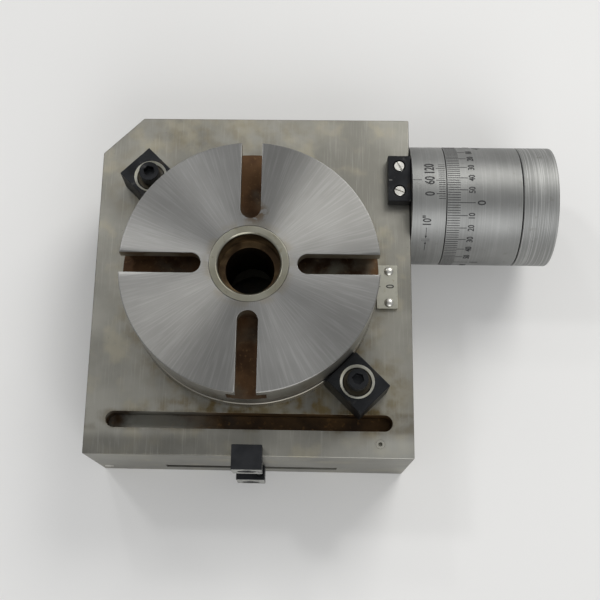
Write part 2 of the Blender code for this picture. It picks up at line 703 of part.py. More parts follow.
hub_radius = DRUM_BORE_RADIUS - GAP
friction_start = drum_start + DRUM_LENGTH / 2 - 0.002
friction_end = friction_start + 0.004
friction_floor = hub_radius - 0.0025
revolve("handwheel", [
    (SHAFT_RADIUS + GAP, drum_start + 0.0005),
    (hub_radius, drum_start + 0.0005),
    (hub_radius, friction_start),
    (friction_floor, friction_start),
    (friction_floor, friction_end),
    (hub_radius, friction_end),
    (hub_radius, knob_start),
    (KNOB_RADIUS - 0.0008, knob_start),
    (KNOB_RADIUS, knob_start + 0.0008),
    (KNOB_RADIUS, knob_end - 0.0008),
    (KNOB_RADIUS - 0.0008, knob_end),
    (KNOB_RECESS_RADIUS, knob_end),
    (KNOB_RECESS_RADIUS, recess_floor),
    (SHAFT_RADIUS + GAP, recess_floor),
], (STEEL, 0.35), worm_axis, along_x, MEDIUM_SEGMENTS, closed=True)

ring("friction_ring", friction_floor + GAP, hub_radius - 0.0001, friction_start + GAP,
     friction_end - GAP, (BRONZE, 0.5), worm_axis, along_x, 32)

ring("handwheel_washer", SHAFT_RADIUS + GAP, 0.011, recess_floor + GAP, recess_floor + 0.0018,
     (BRIGHT_STEEL, 0.3), worm_axis, along_x, 24)
nut_low = recess_floor + 0.0018 + GAP
nut_profile = [(0.0, nut_low), (0.0092, nut_low), (0.0092, nut_low + 0.0045),
               (0.0, nut_low + 0.0045)]
handwheel_nut = revolve("handwheel_nut", nut_profile, (BLACKED, 0.4), worm_axis, along_x, 6)
hole(handwheel_nut, "nut_bore", SHAFT_RADIUS + GAP,
     (nut_low - 0.001, WORM_OFFSET, WORM_HEIGHT), along_x, 0.008, 24)

# ---------------------------------------------------------------- table clamps
diagonal = math.sqrt(0.5)


def build_clamp(name, degrees):
    """A block whose nose grips the top of the table's flange, its screw and its flanged washer."""
    turn = math.radians(degrees)
    out = Vector((math.cos(turn), math.sin(turn), 0))
    centre = out * CLAMP_SCREW_CIRCLE
    low = BASE_HEIGHT + GAP
    outline = rectangle(CLAMP_NOSE_TIP - 0.003, CLAMP_BACK, -CLAMP_WIDTH / 2, CLAMP_WIDTH / 2)
    block = eased_prism(name, outline, low, CLAMP_TOP, (BLACKED, 0.45), 0.0005,
                        (centre.x, centre.y, 0), turn)
    pocket_floor = CLAMP_TOP - CLAMP_POCKET_DEPTH
    flange_clear = TABLE_RADIUS + 0.0005
    cut(block, revolve(name + "_flange_relief", [
        (0.0, low - 0.001),
        (flange_clear, low - 0.001),
        (flange_clear, FLANGE_TOP + GAP),
        (CLAMP_NOSE_TIP, FLANGE_TOP + GAP),
        (CLAMP_NOSE_TIP, CLAMP_NOSE_TOP + 0.001),
        (0.0, CLAMP_NOSE_TOP + 0.001),
    ], None, segments=96))
    rim_room = rectangle(CLAMP_NOSE_TIP - 0.004, TABLE_RADIUS + CLAMP_RIM_CLEARANCE,
                         -CLAMP_WIDTH, CLAMP_WIDTH)
    cut(block, stack(name + "_rim_relief", [
        (CLAMP_NOSE_TOP, rim_room), (CLAMP_TOP + 0.001, rim_room)], None,
        (centre.x, centre.y, 0), turn))
    spot = (centre.x, centre.y, 0)
    chamfer = CLAMP_POCKET_CHAMFER
    cut(block, revolve(name + "_pocket", [
        (0.0, low - 0.001),
        (0.0033, low - 0.001),
        (0.0033, pocket_floor),
        (CLAMP_POCKET_RADIUS, pocket_floor),
        (CLAMP_POCKET_RADIUS, CLAMP_TOP - chamfer),
        (CLAMP_POCKET_RADIUS + chamfer + 0.001, CLAMP_TOP + 0.001),
        (0.0, CLAMP_TOP + 0.001),
    ], None, spot, segments=24))
    washer_low = pocket_floor + GAP
    washer_top = washer_low + WASHER_HEIGHT
    revolve(name + "_washer", [
        (0.0033, washer_low),
        (WASHER_RADIUS, washer_low),
        (WASHER_RADIUS, washer_low + WASHER_THICKNESS),
        (WASHER_BOSS_RADIUS, washer_low + WASHER_THICKNESS),
        (WASHER_BOSS_RADIUS, washer_top),
        (0.0033, washer_top),
    ], (STEEL, 0.4), spot, segments=24, closed=True)
    seat = washer_top + GAP
    cap_screw(name + "_screw", (centre.x, centre.y, seat), (0, 0, 1), 0.003, 0.0325, 0.005,
              0.006, 0.005, (BLACKED, 0.4))
    hole(base, name + "_thread", 0.0033, (centre.x, centre.y, BASE_HEIGHT + 0.001), (0, 0, -1),
         0.0165, 20)


build_clamp("clamp_front", -45)
build_clamp("clamp_rear", 135)

# ---------------------------------------------------------------- index bracket
bracket_right = half_width
bracket_left = bracket_right - BRACKET_WIDTH
bracket_low = BASE_HEIGHT + GAP
bracket_top = bracket_low + BRACKET_HEIGHT
bracket = eased_prism("index_bracket", rectangle(
    bracket_left, bracket_right, BRACKET_CENTRE_Y - BRACKET_LENGTH / 2,
    BRACKET_CENTRE_Y + BRACKET_LENGTH / 2), bracket_low, bracket_top, (BLACKED, 0.5), 0.0003)
bracket_screw_x = half_width - BRACKET_WIDTH / 2
head_height = 0.002
counterbore_floor = bracket_top - 0.0024
for number, side in enumerate((-1, 1), 1):
    y = BRACKET_CENTRE_Y + side * BRACKET_SCREW_SPACING / 2
    spot = (bracket_screw_x, y, 0)
    cut(bracket, revolve(f"bracket_hole_{number}", [
        (0.0, bracket_low - 0.001),
        (0.0018, bracket_low - 0.001),
        (0.0018, counterbore_floor),
        (BRACKET_COUNTERBORE_RADIUS, counterbore_floor),
        (BRACKET_COUNTERBORE_RADIUS, bracket_top + 0.001),
        (0.0, bracket_top + 0.001),
    ], None, spot, segments=SMALL_SEGMENTS))
    hole(base, f"bracket_thread_{number}", 0.0018, (spot[0], y, BASE_HEIGHT + 0.001),
         (0, 0, -1), 0.0055, 12)
    seat = counterbore_floor + GAP
    screw = revolve(f"bracket_screw_{number}", [
        (0.0, seat - 0.0078),
        (0.0015, seat - 0.0078),
        (0.0015, seat),
        (0.00275, seat),
        (0.00275, seat + head_height - 0.0003),
        (0.00245, seat + head_height),
        (0.0, seat + head_height),
    ], (NICKEL_SILVER, 0.35), spot, segments=20)
    turn = math.radians(-21 if side < 0 else -62)
    slot_half = [Matrix.Rotation(turn, 2) @ Vector(corner)
                 for corner in rectangle(-0.005, 0.005, -0.0004, 0.0004)]
    cut(screw, stack(f"bracket_slot_{number}", [
        (seat + head_height - 0.0009, [(v.x + spot[0], v.y + y) for v in slot_half]),
        (seat + head_height + 0.001, [(v.x + spot[0], v.y + y) for v in slot_half]),
    ], None))

# ---------------------------------------------------------------- zero plate
plate_low = BASE_HEIGHT + GAP
plate_top = plate_low + PLATE_THICKNESS
zero_plate = eased_prism("zero_plate", rectangle(
    PLATE_INNER_EDGE, PLATE_OUTER_EDGE, -PLATE_LENGTH / 2, PLATE_LENGTH / 2),
    plate_low, plate_top, (NICKEL_SILVER, 0.25), 0.0002)
for number, side in enumerate((-1, 1), 1):
    spot = (RIVET_OFFSET_X, side * RIVET_SPACING / 2, 0)
    hole(zero_plate, f"plate_hole_{number}", 0.0015, (spot[0], spot[1], plate_low - 0.001),
         (0, 0, 1), 0.005, 12)
    hole(base, f"rivet_bore_{number}", 0.0015, (spot[0], spot[1], BASE_HEIGHT + 0.001),
         (0, 0, -1), 0.006, 12)
    seat = plate_top + GAP / 2
    rise = 0.0011
    dome = [(RIVET_HEAD_RADIUS * math.cos(a), seat + rise * math.sin(a))
            for a in (0.0, math.radians(30), math.radians(60))]
    revolve(f"plate_rivet_{number}", [
        (0.0, BASE_HEIGHT - 0.0045),
        (0.0012, BASE_HEIGHT - 0.0045),
        (0.0012, seat),
        *dome,
        (0.0, seat + rise),
    ], (BRIGHT_STEEL, 0.25), spot, segments=20)

# ---------------------------------------------------------------- front stop
stop_half = STOP_WIDTH / 2
stop_back = -BASE_FRONT - GAP
upper_low = STOP_TOP - STOP_HEIGHT
stop_upper = eased_prism("stop_upper", rectangle(
    -stop_half, stop_half, -STOP_FACE, STOP_OVERLAP - BASE_FRONT), upper_low, STOP_TOP,
    (BLACKED, 0.45), 0.0004)
cut(stop_upper, stack("stop_hook", [
    (upper_low - 0.001, rectangle(-0.01, 0.01, stop_back, 0.02 - BASE_FRONT)),
    (BASE_HEIGHT + GAP, rectangle(-0.01, 0.01, stop_back, 0.02 - BASE_FRONT)),
], None))
key_half = FRONT_GROOVE_HEIGHT / 2 - GAP
stop_lower = eased_prism("stop_lower", rectangle(
    -stop_half, stop_half, -STOP_FACE, stop_back + 0.0055), STOP_LOWER_BOTTOM, STOP_LOWER_TOP,
    (BLACKED, 0.45), 0.0004)
for name, low, high in (("key_under", STOP_LOWER_BOTTOM - 0.001, FRONT_GROOVE_LEVEL - key_half),
                        ("key_over", FRONT_GROOVE_LEVEL + key_half, STOP_LOWER_TOP + 0.001)):
    outline = rectangle(-0.01, 0.01, stop_back, 0.02 - BASE_FRONT)
    cut(stop_lower, stack(name, [(low, outline), (high, outline)], None))

stud_y = -(STOP_FACE - BASE_FRONT) / 2 - BASE_FRONT
stud_low = STOP_LOWER_TOP - 0.0035
stud_high = upper_low + 0.002
revolve("stop_stud", [
    (0.0, stud_low),
    (STOP_STUD_RADIUS, stud_low),
    (STOP_STUD_RADIUS, stud_high),
    (0.0, stud_high),
], (BLACKED, 0.5), (STOP_STUD_OFFSET, stud_y, 0), segments=TINY_SEGMENTS)
hole(stop_lower, "stud_hole_lower", STOP_STUD_RADIUS + GAP,
     (STOP_STUD_OFFSET, stud_y, stud_low - GAP), (0, 0, 1), 0.01)
hole(stop_upper, "stud_hole_upper", STOP_STUD_RADIUS + GAP,
     (STOP_STUD_OFFSET, stud_y, stud_high + GAP), (0, 0, -1), 0.01)

STOP_SCREW_LEVEL = STOP_TOP - STOP_SCREW_DROP
stop_counterbore = 0.0046
stop_seat_y = -STOP_FACE + 0.0048
for name, level, block, length, bore_length in (
        ("stop_screw_upper", STOP_SCREW_LEVEL, stop_upper, 0.0065, 0.012),
        ("stop_screw_lower", FRONT_GROOVE_LEVEL, stop_lower, 0.0128, 0.02)):
    cut(block, revolve(name + "_bore", [
        (0.0, -0.001),
        (stop_counterbore, -0.001),
        (stop_counterbore, 0.0048 + GAP),
        (0.0028, 0.0048 + GAP),
        (0.0028, bore_length),
        (0.0, bore_length),
    ], None, (0, -STOP_FACE, level), (0, 1, 0), 20))
    cap_screw(name, (0, stop_seat_y, level), (0, -1, 0), 0.0025, length, 0.0042, 0.0045, 0.004,
              (BLACKED, 0.4))

nut_front = groove_step + 0.0008
nut_back = FRONT_GROOVE_DEPTH - BASE_FRONT - GAP
nut_half = FRONT_GROOVE_WIDE_HEIGHT / 2 - GAP
stop_nut = stack("stop_nut", [
    (FRONT_GROOVE_LEVEL - nut_half, rectangle(-0.007, 0.007, nut_front, nut_back)),
    (FRONT_GROOVE_LEVEL + nut_half, rectangle(-0.007, 0.007, nut_front, nut_back)),
], (BLACKED, 0.5))
hole(stop_nut, "stop_nut_bore", 0.0028, (0, nut_front - 0.001, FRONT_GROOVE_LEVEL), (0, 1, 0),
     0.01)

# ---------------------------------------------------------------- oiler and plug
OILER_X = 0.0048 - BASE_WIDTH / 2
OILER_LEVEL = 0.0126
hole(base, "oiler_bore", 0.0028, (OILER_X, -BASE_FRONT - 0.001, OILER_LEVEL), (0, 1, 0), 0.008)
revolve("ball_oiler", [
    (0.0, -0.0064),
    (0.0025, -0.0064),
    (0.0025, 0.0),
    (0.0017, 0.0002),
    (0.0013, -0.0003),
    (0.0008, 0.0002),
    (0.0, 0.0004),
], (NICKEL_SILVER, 0.25), (OILER_X, -BASE_FRONT, OILER_LEVEL), (0, -1, 0), 20)

PLUG_X = BASE_WIDTH / 2 - 0.0165
PLUG_Y = 0.007 - BASE_FRONT
hole(base, "plug_bore", 0.0023, (PLUG_X, PLUG_Y, BASE_HEIGHT + 0.001), (0, 0, -1), 0.008)
plug = revolve("oil_plug", [
    (0.0, BASE_HEIGHT - 0.0065),
    (0.002, BASE_HEIGHT - 0.0065),
    (0.002, BASE_HEIGHT - 0.0004),
    (0.0, BASE_HEIGHT - 0.0004),
], (STEEL, 0.5), (PLUG_X, PLUG_Y, 0), segments=TINY_SEGMENTS)
cut(plug, stack("oil_plug_socket", [
    (BASE_HEIGHT - 0.003, [(PLUG_X + x, PLUG_Y + y) for x, y in hexagon(0.002)]),
    (BASE_HEIGHT + 0.001, [(PLUG_X + x, PLUG_Y + y) for x, y in hexagon(0.002)]),
], None))
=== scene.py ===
"""Looks of a rotary table for a milling machine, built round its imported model.

Metres. +X points to the dial, +Y to the back, +Z up. The origin is on the table's axis, at the
level of the base's underside.
"""

import math

import bmesh
import bpy
from mathutils import Matrix, Vector


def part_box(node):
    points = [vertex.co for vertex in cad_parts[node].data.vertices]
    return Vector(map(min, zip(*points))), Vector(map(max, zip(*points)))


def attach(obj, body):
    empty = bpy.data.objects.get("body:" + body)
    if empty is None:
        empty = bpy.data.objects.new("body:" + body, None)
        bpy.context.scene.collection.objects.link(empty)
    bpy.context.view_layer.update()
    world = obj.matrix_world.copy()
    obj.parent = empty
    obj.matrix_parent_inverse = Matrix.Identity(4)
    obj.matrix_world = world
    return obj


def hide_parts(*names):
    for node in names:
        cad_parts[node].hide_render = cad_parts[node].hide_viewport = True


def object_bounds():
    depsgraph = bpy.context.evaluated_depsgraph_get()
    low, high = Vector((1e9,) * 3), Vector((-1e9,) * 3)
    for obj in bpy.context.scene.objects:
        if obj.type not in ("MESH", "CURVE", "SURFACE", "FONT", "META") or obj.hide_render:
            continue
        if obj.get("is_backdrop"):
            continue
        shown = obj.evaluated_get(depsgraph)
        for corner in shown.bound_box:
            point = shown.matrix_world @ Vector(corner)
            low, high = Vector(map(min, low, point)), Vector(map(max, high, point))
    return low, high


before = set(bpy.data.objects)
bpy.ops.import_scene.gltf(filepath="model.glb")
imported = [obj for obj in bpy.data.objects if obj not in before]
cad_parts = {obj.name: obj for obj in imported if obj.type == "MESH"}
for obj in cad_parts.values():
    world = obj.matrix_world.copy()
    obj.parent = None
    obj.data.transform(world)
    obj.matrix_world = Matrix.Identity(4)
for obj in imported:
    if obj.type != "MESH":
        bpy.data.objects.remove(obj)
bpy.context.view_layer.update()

MM = 0.001
GAP = 0.3 * MM  # left between pieces that touch
NEAR = 0.01 * MM  # within this, two places are the same

# ---------------------------------------------------------------- base
# The body of the rotary table: a steel block ground on every face, with its edges broken. Its rear
# left corner is cut off, a slot is milled along the front of its top, a T-groove along its front
# face, and a bearing bore, a worm bore and tapped holes go into it.
base_low, base_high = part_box("base")
BASE_EDGE = 0.6 * MM
CORNER_CUT = 20.5 * MM
SLOT_LENGTH = 141 * MM
SLOT_WIDTH = 8 * MM
SLOT_DEPTH = 11 * MM
SLOT_INSET = 17.2 * MM
GROOVE_LENGTH = 90 * MM
GROOVE_LEVEL = 17 * MM
GROOVE_NECK = 4.25 * MM  # half heights of the T-groove
GROOVE_WIDE = 6.8 * MM
GROOVE_LIP = 6 * MM
GROOVE_DEPTH = 11 * MM
CAP_ROOM, CAP_ROOM_TOP = 58.5 * MM, 6.3 * MM
WHEEL_ROOM, WHEEL_ROOM_TOP = 49.5 * MM, 51 * MM
BEARING_ROOM, BEARING_SEAT = 35.3 * MM, 58.4 * MM
BEARING_FLANGE_ROOM = 37.8 * MM
SHAFT_ROOM, SHAFT_ROOM_START = 8.3 * MM, -41 * MM
WORM_ROOM, WORM_ROOM_START = 13.3 * MM, -26 * MM
CAP_SCREW_CIRCLE = 54 * MM
CAP_SCREW_ANGLES = (30, 150, 270)
SLEEVE_SCREW_CIRCLE = 23 * MM
SLEEVE_SCREW_ANGLES = (0, 180, 270)
SCREW_ROOM = 2.3 * MM  # round the shanks of the cap's and the sleeve's screws
WORM_AXIS = Vector((0, 52.5 * MM, 42 * MM))
BASE_TOP = base_high.z
CLAMP_CIRCLE = 74 * MM
CLAMP_ANGLES = {"front": -45, "rear": 135}
CLAMP_BORE = 3.3 * MM
BRACKET_BORE = 1.8 * MM
RIVET_BORE = 1.5 * MM


class Wire:
    """A socket in a material. Sums on it add Math nodes, and node() adds a node of any kind."""

    def __init__(self, tree, socket=None):
        self.tree = tree
        self.socket = socket

    def node(self, kind, settings=None, sockets=None, output=0):
        made = self.tree.nodes.new("ShaderNode" + kind)
        for name, value in (settings or {}).items():
            if name == "stops":
                stops = made.color_ramp.elements
                while len(stops) < len(value):
                    stops.new(1.0)
                for stop, (place, colour) in zip(stops, value):
                    stop.position = place
                    stop.color = (*colour, 1.0)
            else:
                setattr(made, name, value)
        for name, value in (sockets or {}).items():
            if isinstance(value, Wire):
                self.tree.links.new(value.socket, made.inputs[name])
            else:
                made.inputs[name].default_value = value
        if isinstance(output, tuple):
            return [Wire(self.tree, made.outputs[index]) for index in output]
        return Wire(self.tree, made.outputs[output])

    def math(self, operation, *values):
        return self.node("Math", {"operation": operation}, dict(enumerate(values)))

    def __add__(self, other):
        return self.math("ADD", self, other)

    def __sub__(self, other):
        return self.math("SUBTRACT", self, other)

    def __rsub__(self, other):
        return self.math("SUBTRACT", other, self)

    def __mul__(self, other):
        return self.math("MULTIPLY", self, other)

    def __truediv__(self, other):
        return self.math("DIVIDE", self, other)

    def __pow__(self, other):
        return self.math("POWER", self, other)

    __radd__ = __add__
    __rmul__ = __mul__


def new_finish(name, metallic, roughness, more=None):
    """A material with its fixed values, and the point on the piece that its patterns read."""
    material = bpy.data.materials.new(name)
    material.use_nodes = True
    shader = material.node_tree.nodes["Principled BSDF"]
    for socket, value in {"Metallic": metallic, "Roughness": roughness, **(more or {})}.items():
        shader.inputs[socket].default_value = value
    return material, Wire(material.node_tree).node("TexCoord", output=3)


def feed(material, colour=None, roughness=None, height=None, depth=0.02 * MM):
    """Links what varies over the surface to the shader. Height is a relief of the given depth."""
    shader = material.node_tree.nodes["Principled BSDF"]
    if height is not None:
        height = height.node("Bump", None, {"Height": height, "Distance": depth})
    for name, wire in (("Base Color", colour), ("Roughness", roughness), ("Normal", height)):
        if wire is not None:
            material.node_tree.links.new(wire.socket, shader.inputs[name])
    return material


def noise(place, scale, detail=3.0, stretch=(1, 1, 1)):
    """Cloudy noise of so many waves per metre, which stretch makes finer along an axis."""
    place = place.node("Mapping", None, {"Vector": place, "Scale": stretch})
    return place.node("TexNoise", None, {"Vector": place, "Scale": scale, "Detail": detail})


def split(place):
    return place.node("SeparateXYZ", None, {0: place}, (0, 1, 2))


def fade(value, low, high):
    """0 up to low, 1 from high, and smooth between. High may be the smaller number."""
    return value.node("MapRange", {"interpolation_type": "SMOOTHSTEP"},
                      {"Value": value, "From Min": low, "From Max": high})


def blend(share, first, second):
    sockets = {0: share}
    for index, colour in ((6, first), (7, second)):
        sockets[index] = colour if isinstance(colour, Wire) else (*colour, 1.0)
    return share.node("Mix", {"data_type": "RGBA"}, sockets, 2)


def patch(x, y, middle, size):
    """1 at the middle of an oval spot on the XY plane, 0 at its edge. Both sizes are in mm."""
    across = (x - middle[0] * MM) / (size[0] * MM)
    along = (y - middle[1] * MM) / (size[1] * MM)
    return fade(across * across + along * along, 1.0, 0.0)


def ring_distance(x, y):
    return (x * x + y * y) ** 0.5


def at_angle(degrees, radius=1.0):
    """A point on the XY plane, or a direction there."""
    angle = math.radians(degrees)
    return Vector((radius * math.cos(angle), radius * math.sin(angle), 0))


def around_worm(x, degrees, radius):
    """A point beside the worm's axis, turned from +Y towards +Z."""
    angle = math.radians(degrees)
    return WORM_AXIS + Vector((x, radius * math.cos(angle), radius * math.sin(angle)))


OIL_STAINS = (  # middle and reach in mm, strength
    ((5, -64), (76, 10), 1.0),  # in front of the table
    ((56, -56), (30, 29), 0.9),  # under the front clamp
    ((-58, 56), (24, 26), 0.45),  # under the rear clamp
    ((-15, 84), (70, 14), 0.35))  # along the back edge


def ground_steel(name, grain, stained):
    """Surface-ground steel: fine straight marks, clouds of old oil, brown stains on top, and
    painted shade and highlight along the top's front strip.
    """
    material, place = new_finish(name, 1.0, 0.42)
    marks = noise(place, 1.0, 4.0, grain)
    cloud = noise(place, 26.0, 5.0)
    blotch = noise(place, 75.0, 6.0)
    colour = blend(fade(cloud, 0.34, 0.68), (0.19, 0.185, 0.163), (0.28, 0.273, 0.242))
    colour = blend(fade(blotch, 0.5, 0.72) * 0.45, colour, (0.35, 0.32, 0.235))
    if stained:
        x, y = split(place)[:2]
        spots = fade(ring_distance(x, y), 76 * MM, 61 * MM) * 0.55
        for middle, size, share in OIL_STAINS:
            spots = spots + patch(x, y, middle, size) * share
        edge = fade(noise(place, 130.0, 5.0), 0.4, 0.66)
        colour = blend(spots * edge * 0.85, colour, (0.15, 0.115, 0.058))
        film = fade(noise(place, 48.0, 4.0), 0.42, 0.75)
        colour = blend(spots * film * 0.5, colour, (0.25, 0.22, 0.145))
        dirt = fade(y.math("ABSOLUTE", y - slot_y), 6.4 * MM, 3.6 * MM)
        colour = blend(dirt * fade(blotch, 0.42, 0.6) * 0.5, colour, (0.1, 0.08, 0.05))
        # Painted light on the top's front strip: painted shade darkens its left part, and a painted
        # highlight lightens its right part.
        strip = fade(y, -74 * MM, -80 * MM)
        colour = blend(strip * fade(x, 20 * MM, -60 * MM) * 0.6, colour, (0.11, 0.107, 0.095))
        colour = blend(strip * fade(x, 20 * MM, 80 * MM) * 0.5, colour, (0.46, 0.455, 0.42))
    colour = blend(fade(marks, 0.5, 0.8) * 0.3, colour, (0.4, 0.395, 0.36))
    pits = fade(noise(place, 900.0, 2.0), 0.72, 0.8)
    colour = blend(pits * 0.5, colour, (0.08, 0.07, 0.055))
    return feed(material, colour, 0.3 + marks * 0.16 + cloud * 0.14, marks - pits * 2.0,
                0.006 * MM)


def only(piece):
    bpy.ops.object.select_all(action="DESELECT")
    bpy.context.view_layer.objects.active = piece
    piece.select_set(True)


def settled(name):
    """Names the piece just added, and moves its place, turn and size into its mesh."""
    bpy.ops.object.transform_apply(location=True, rotation=True, scale=True)
    piece = bpy.context.object
    piece.name = piece.data.name = name
    return piece


def block(name, low, high, turn=0.0):
    """A rectangular piece, turned about its own upright axis."""
    bpy.ops.object.select_all(action="DESELECT")
    bpy.ops.mesh.primitive_cube_add(
        size=1, location=[(a + b) / 2 for a, b in zip(low, high)], rotation=(0, 0, turn),
        scale=[b - a for a, b in zip(low, high)])
    return settled(name)


def turned(name, profile, centre=(0, 0, 0), axis=(0, 0, 1), sides=96, hollow=False):
    """A ring drawn along a profile of (radius, height). A hollow piece ends where it starts."""
    along = Vector(axis)
    centre = Vector(centre)
    radius, height = profile[0]
    bpy.ops.object.select_all(action="DESELECT")
    bpy.ops.mesh.primitive_circle_add(
        vertices=sides, radius=radius, fill_type="NOTHING" if hollow else "NGON",
        location=centre + along * height,
        rotation=Vector((0, 0, 1)).rotation_difference(along).to_euler())
    piece = settled(name)
    bpy.ops.object.mode_set(mode="EDIT")
    bpy.ops.mesh.select_all(action="SELECT")
    for next_radius, next_height in profile[1:]:
        bpy.ops.mesh.extrude_region_move(
            TRANSFORM_OT_translate={"value": along * (next_height - height)})
        ratio = next_radius / radius
        bpy.ops.transform.resize(value=(ratio, ratio, ratio),
                                 center_override=centre + along * next_height)
        radius, height = next_radius, next_height
    bpy.ops.mesh.select_all(action="SELECT")
    if hollow:
        bpy.ops.mesh.remove_doubles(threshold=0.001 * MM)
    bpy.ops.mesh.normals_make_consistent(inside=False)
    bpy.ops.object.mode_set(mode="OBJECT")
    return piece


def drilled(name, radius, start, axis, depth, sides=32):
    return turned(name, [(radius, 0.0), (radius, depth)], start, axis, sides)


def apply_modifier(piece, kind, **settings):
    tool = piece.modifiers.new(kind.lower(), kind)
    for name, value in settings.items():
        setattr(tool, name, value)
    only(piece)
    bpy.ops.object.modifier_apply(modifier=tool.name)


def cut(piece, *cutters):
    for cutter in cutters:
        apply_modifier(piece, "BOOLEAN", operation="DIFFERENCE", solver="EXACT", object=cutter)
        bpy.data.objects.remove(cutter)
    return piece


def pick(piece, test):
    """In edit mode, selects the edges that pass the test, by their place."""
    bpy.ops.mesh.select_all(action="DESELECT")
    bpy.ops.mesh.select_mode(type="EDGE")
    shape = bmesh.from_edit_mesh(piece.data)
    for edge in shape.edges:
        edge.select_set(bool(test(edge)))
    bmesh.update_edit_mesh(piece.data)


def upright(edge):
    return abs(edge.verts[0].co.z - edge.verts[1].co.z) > MM


def edges_eased(piece, width, segments, test):
    """Breaks the edges that pass the test."""
    bpy.context.view_layer.objects.active = piece
    bpy.ops.object.mode_set(mode="EDIT")
    pick(piece, test)
    bpy.ops.mesh.bevel(offset=width, segments=segments, affect="EDGES")
    bpy.ops.object.mode_set(mode="OBJECT")
    return piece


def eased(piece, width, segments=2):
    """Breaks every sharp edge."""
    apply_modifier(piece, "BEVEL", width=width, segments=segments, limit_method="ANGLE",
                   angle_limit=math.radians(40), use_clamp_overlap=True)
    return piece


def fitted(piece, body, slot, nodes, *finishes):
    """Gives a finished piece its material, parents it to its body's empty and hides the CAD nodes
    it takes the place of.
    """
    only(piece)
    bpy.ops.object.shade_smooth_by_angle(angle=math.radians(32))
    apply_modifier(piece, "WEIGHTED_NORMAL", weight=100, keep_sharp=True)
    for finish in finishes:
        piece.data.materials.append(finish)
    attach(piece, body)
    if nodes:
        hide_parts(*nodes)
    return piece


def round_slot(name, low, high, both_ends=True):
    """The room of a milled slot along X: a block with its upright edges rounded to half circles."""
    middle = (low[0] + high[0]) / 2
    return edges_eased(
        block(name, low, high), (high[1] - low[1]) / 2 * 0.9999, 24,
        lambda edge: upright(edge) and (both_ends or edge.verts[0].co.x < middle))


def rotated(piece, degrees):
    """The piece turned about the table's axis."""
    only(piece)
    bpy.ops.transform.rotate(value=-math.radians(degrees), orient_axis="Z",
                             center_override=(0, 0, 0))  # with no window it turns the other way
    return settled(piece.name)


def copied(piece, name, degrees):
    """A copy with its own mesh, turned about the table's axis."""
    only(piece)
    bpy.ops.object.duplicate()
    bpy.context.object.name = name
    return rotated(bpy.context.object, degrees)


base_block = block("base_block", base_low, base_high)
bpy.ops.object.mode_set(mode="EDIT")
bpy.ops.mesh.select_all(action="SELECT")
bpy.ops.mesh.bisect(plane_co=(base_low.x + CORNER_CUT, base_high.y, 0), plane_no=(-1, 1, 0),
                    use_fill=True, clear_outer=True)
bpy.ops.object.mode_set(mode="OBJECT")
edges_eased(base_block, BASE_EDGE, 3, lambda edge: True)

slot_y = base_low.y + SLOT_INSET
cut(base_block, round_slot(
    "top_slot_room", (-SLOT_LENGTH / 2, slot_y - SLOT_WIDTH / 2, BASE_TOP - SLOT_DEPTH),
    (SLOT_LENGTH / 2, slot_y + SLOT_WIDTH / 2, BASE_TOP + MM)))
edges_eased(base_block, 0.25 * MM, 2, lambda edge: all(
    abs(v.co.z - BASE_TOP) < NEAR and abs(v.co.y - slot_y) < SLOT_WIDTH / 2 + NEAR
    and abs(v.co.x) < SLOT_LENGTH / 2 + NEAR for v in edge.verts))

groove_front = base_low.y
cut(base_block,
    block("groove_neck_room", (-GROOVE_LENGTH / 2, groove_front - MM, GROOVE_LEVEL - GROOVE_NECK),
          (GROOVE_LENGTH / 2, groove_front + GROOVE_LIP + 0.5 * MM, GROOVE_LEVEL + GROOVE_NECK)),
    block("groove_wide_room",
          (-GROOVE_LENGTH / 2, groove_front + GROOVE_LIP, GROOVE_LEVEL - GROOVE_WIDE),
          (GROOVE_LENGTH / 2, groove_front + GROOVE_DEPTH, GROOVE_LEVEL + GROOVE_WIDE)),
    turned("bearing_bore_room", [
        (CAP_ROOM, -MM), (CAP_ROOM, CAP_ROOM_TOP), (WHEEL_ROOM, CAP_ROOM_TOP),
        (WHEEL_ROOM, WHEEL_ROOM_TOP), (BEARING_ROOM, WHEEL_ROOM_TOP), (BEARING_ROOM, BEARING_SEAT),
        (BEARING_FLANGE_ROOM, BEARING_SEAT), (BEARING_FLANGE_ROOM, BASE_TOP + MM)], sides=128),
    turned("worm_bore_room", [
        (SHAFT_ROOM, SHAFT_ROOM_START), (SHAFT_ROOM, WORM_ROOM_START),
        (WORM_ROOM, WORM_ROOM_START), (WORM_ROOM, base_high.x + MM)], WORM_AXIS, (1, 0, 0), 48))
for degrees in CLAMP_ANGLES.values():
    spot = at_angle(degrees, CLAMP_CIRCLE) + Vector((0, 0, BASE_TOP + MM))
    cut(base_block, drilled("clamp_thread_room", CLAMP_BORE, spot, (0, 0, -1), 16.5 * MM))
for node, radius, depth in (("bracket_screw", BRACKET_BORE, 5.5 * MM),
                            ("plate_rivet", RIVET_BORE, 6 * MM)):
    for number in (1, 2):
        low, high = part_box(f"{node}_{number}")
        spot = ((low.x + high.x) / 2, (low.y + high.y) / 2, BASE_TOP + MM)
        cut(base_block, drilled(f"{node}_room", radius, spot, (0, 0, -1), depth, 16))
for degrees in SLEEVE_SCREW_ANGLES:
    spot = around_worm(base_high.x + MM, degrees, SLEEVE_SCREW_CIRCLE)
    cut(base_block, drilled("sleeve_thread_room", SCREW_ROOM, spot, (-1, 0, 0), 12 * MM, 16))
for degrees in CAP_SCREW_ANGLES:
    spot = at_angle(degrees, CAP_SCREW_CIRCLE) + Vector((0, 0, 5 * MM))
    cut(base_block, drilled("cap_thread_room", SCREW_ROOM, spot, (0, 0, 1), 8.5 * MM, 16))
oiler_low, oiler_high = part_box("ball_oiler")
oiler_middle = (oiler_low + oiler_high) / 2
plug_low, plug_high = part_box("oil_plug")
plug_middle = (plug_low + plug_high) / 2
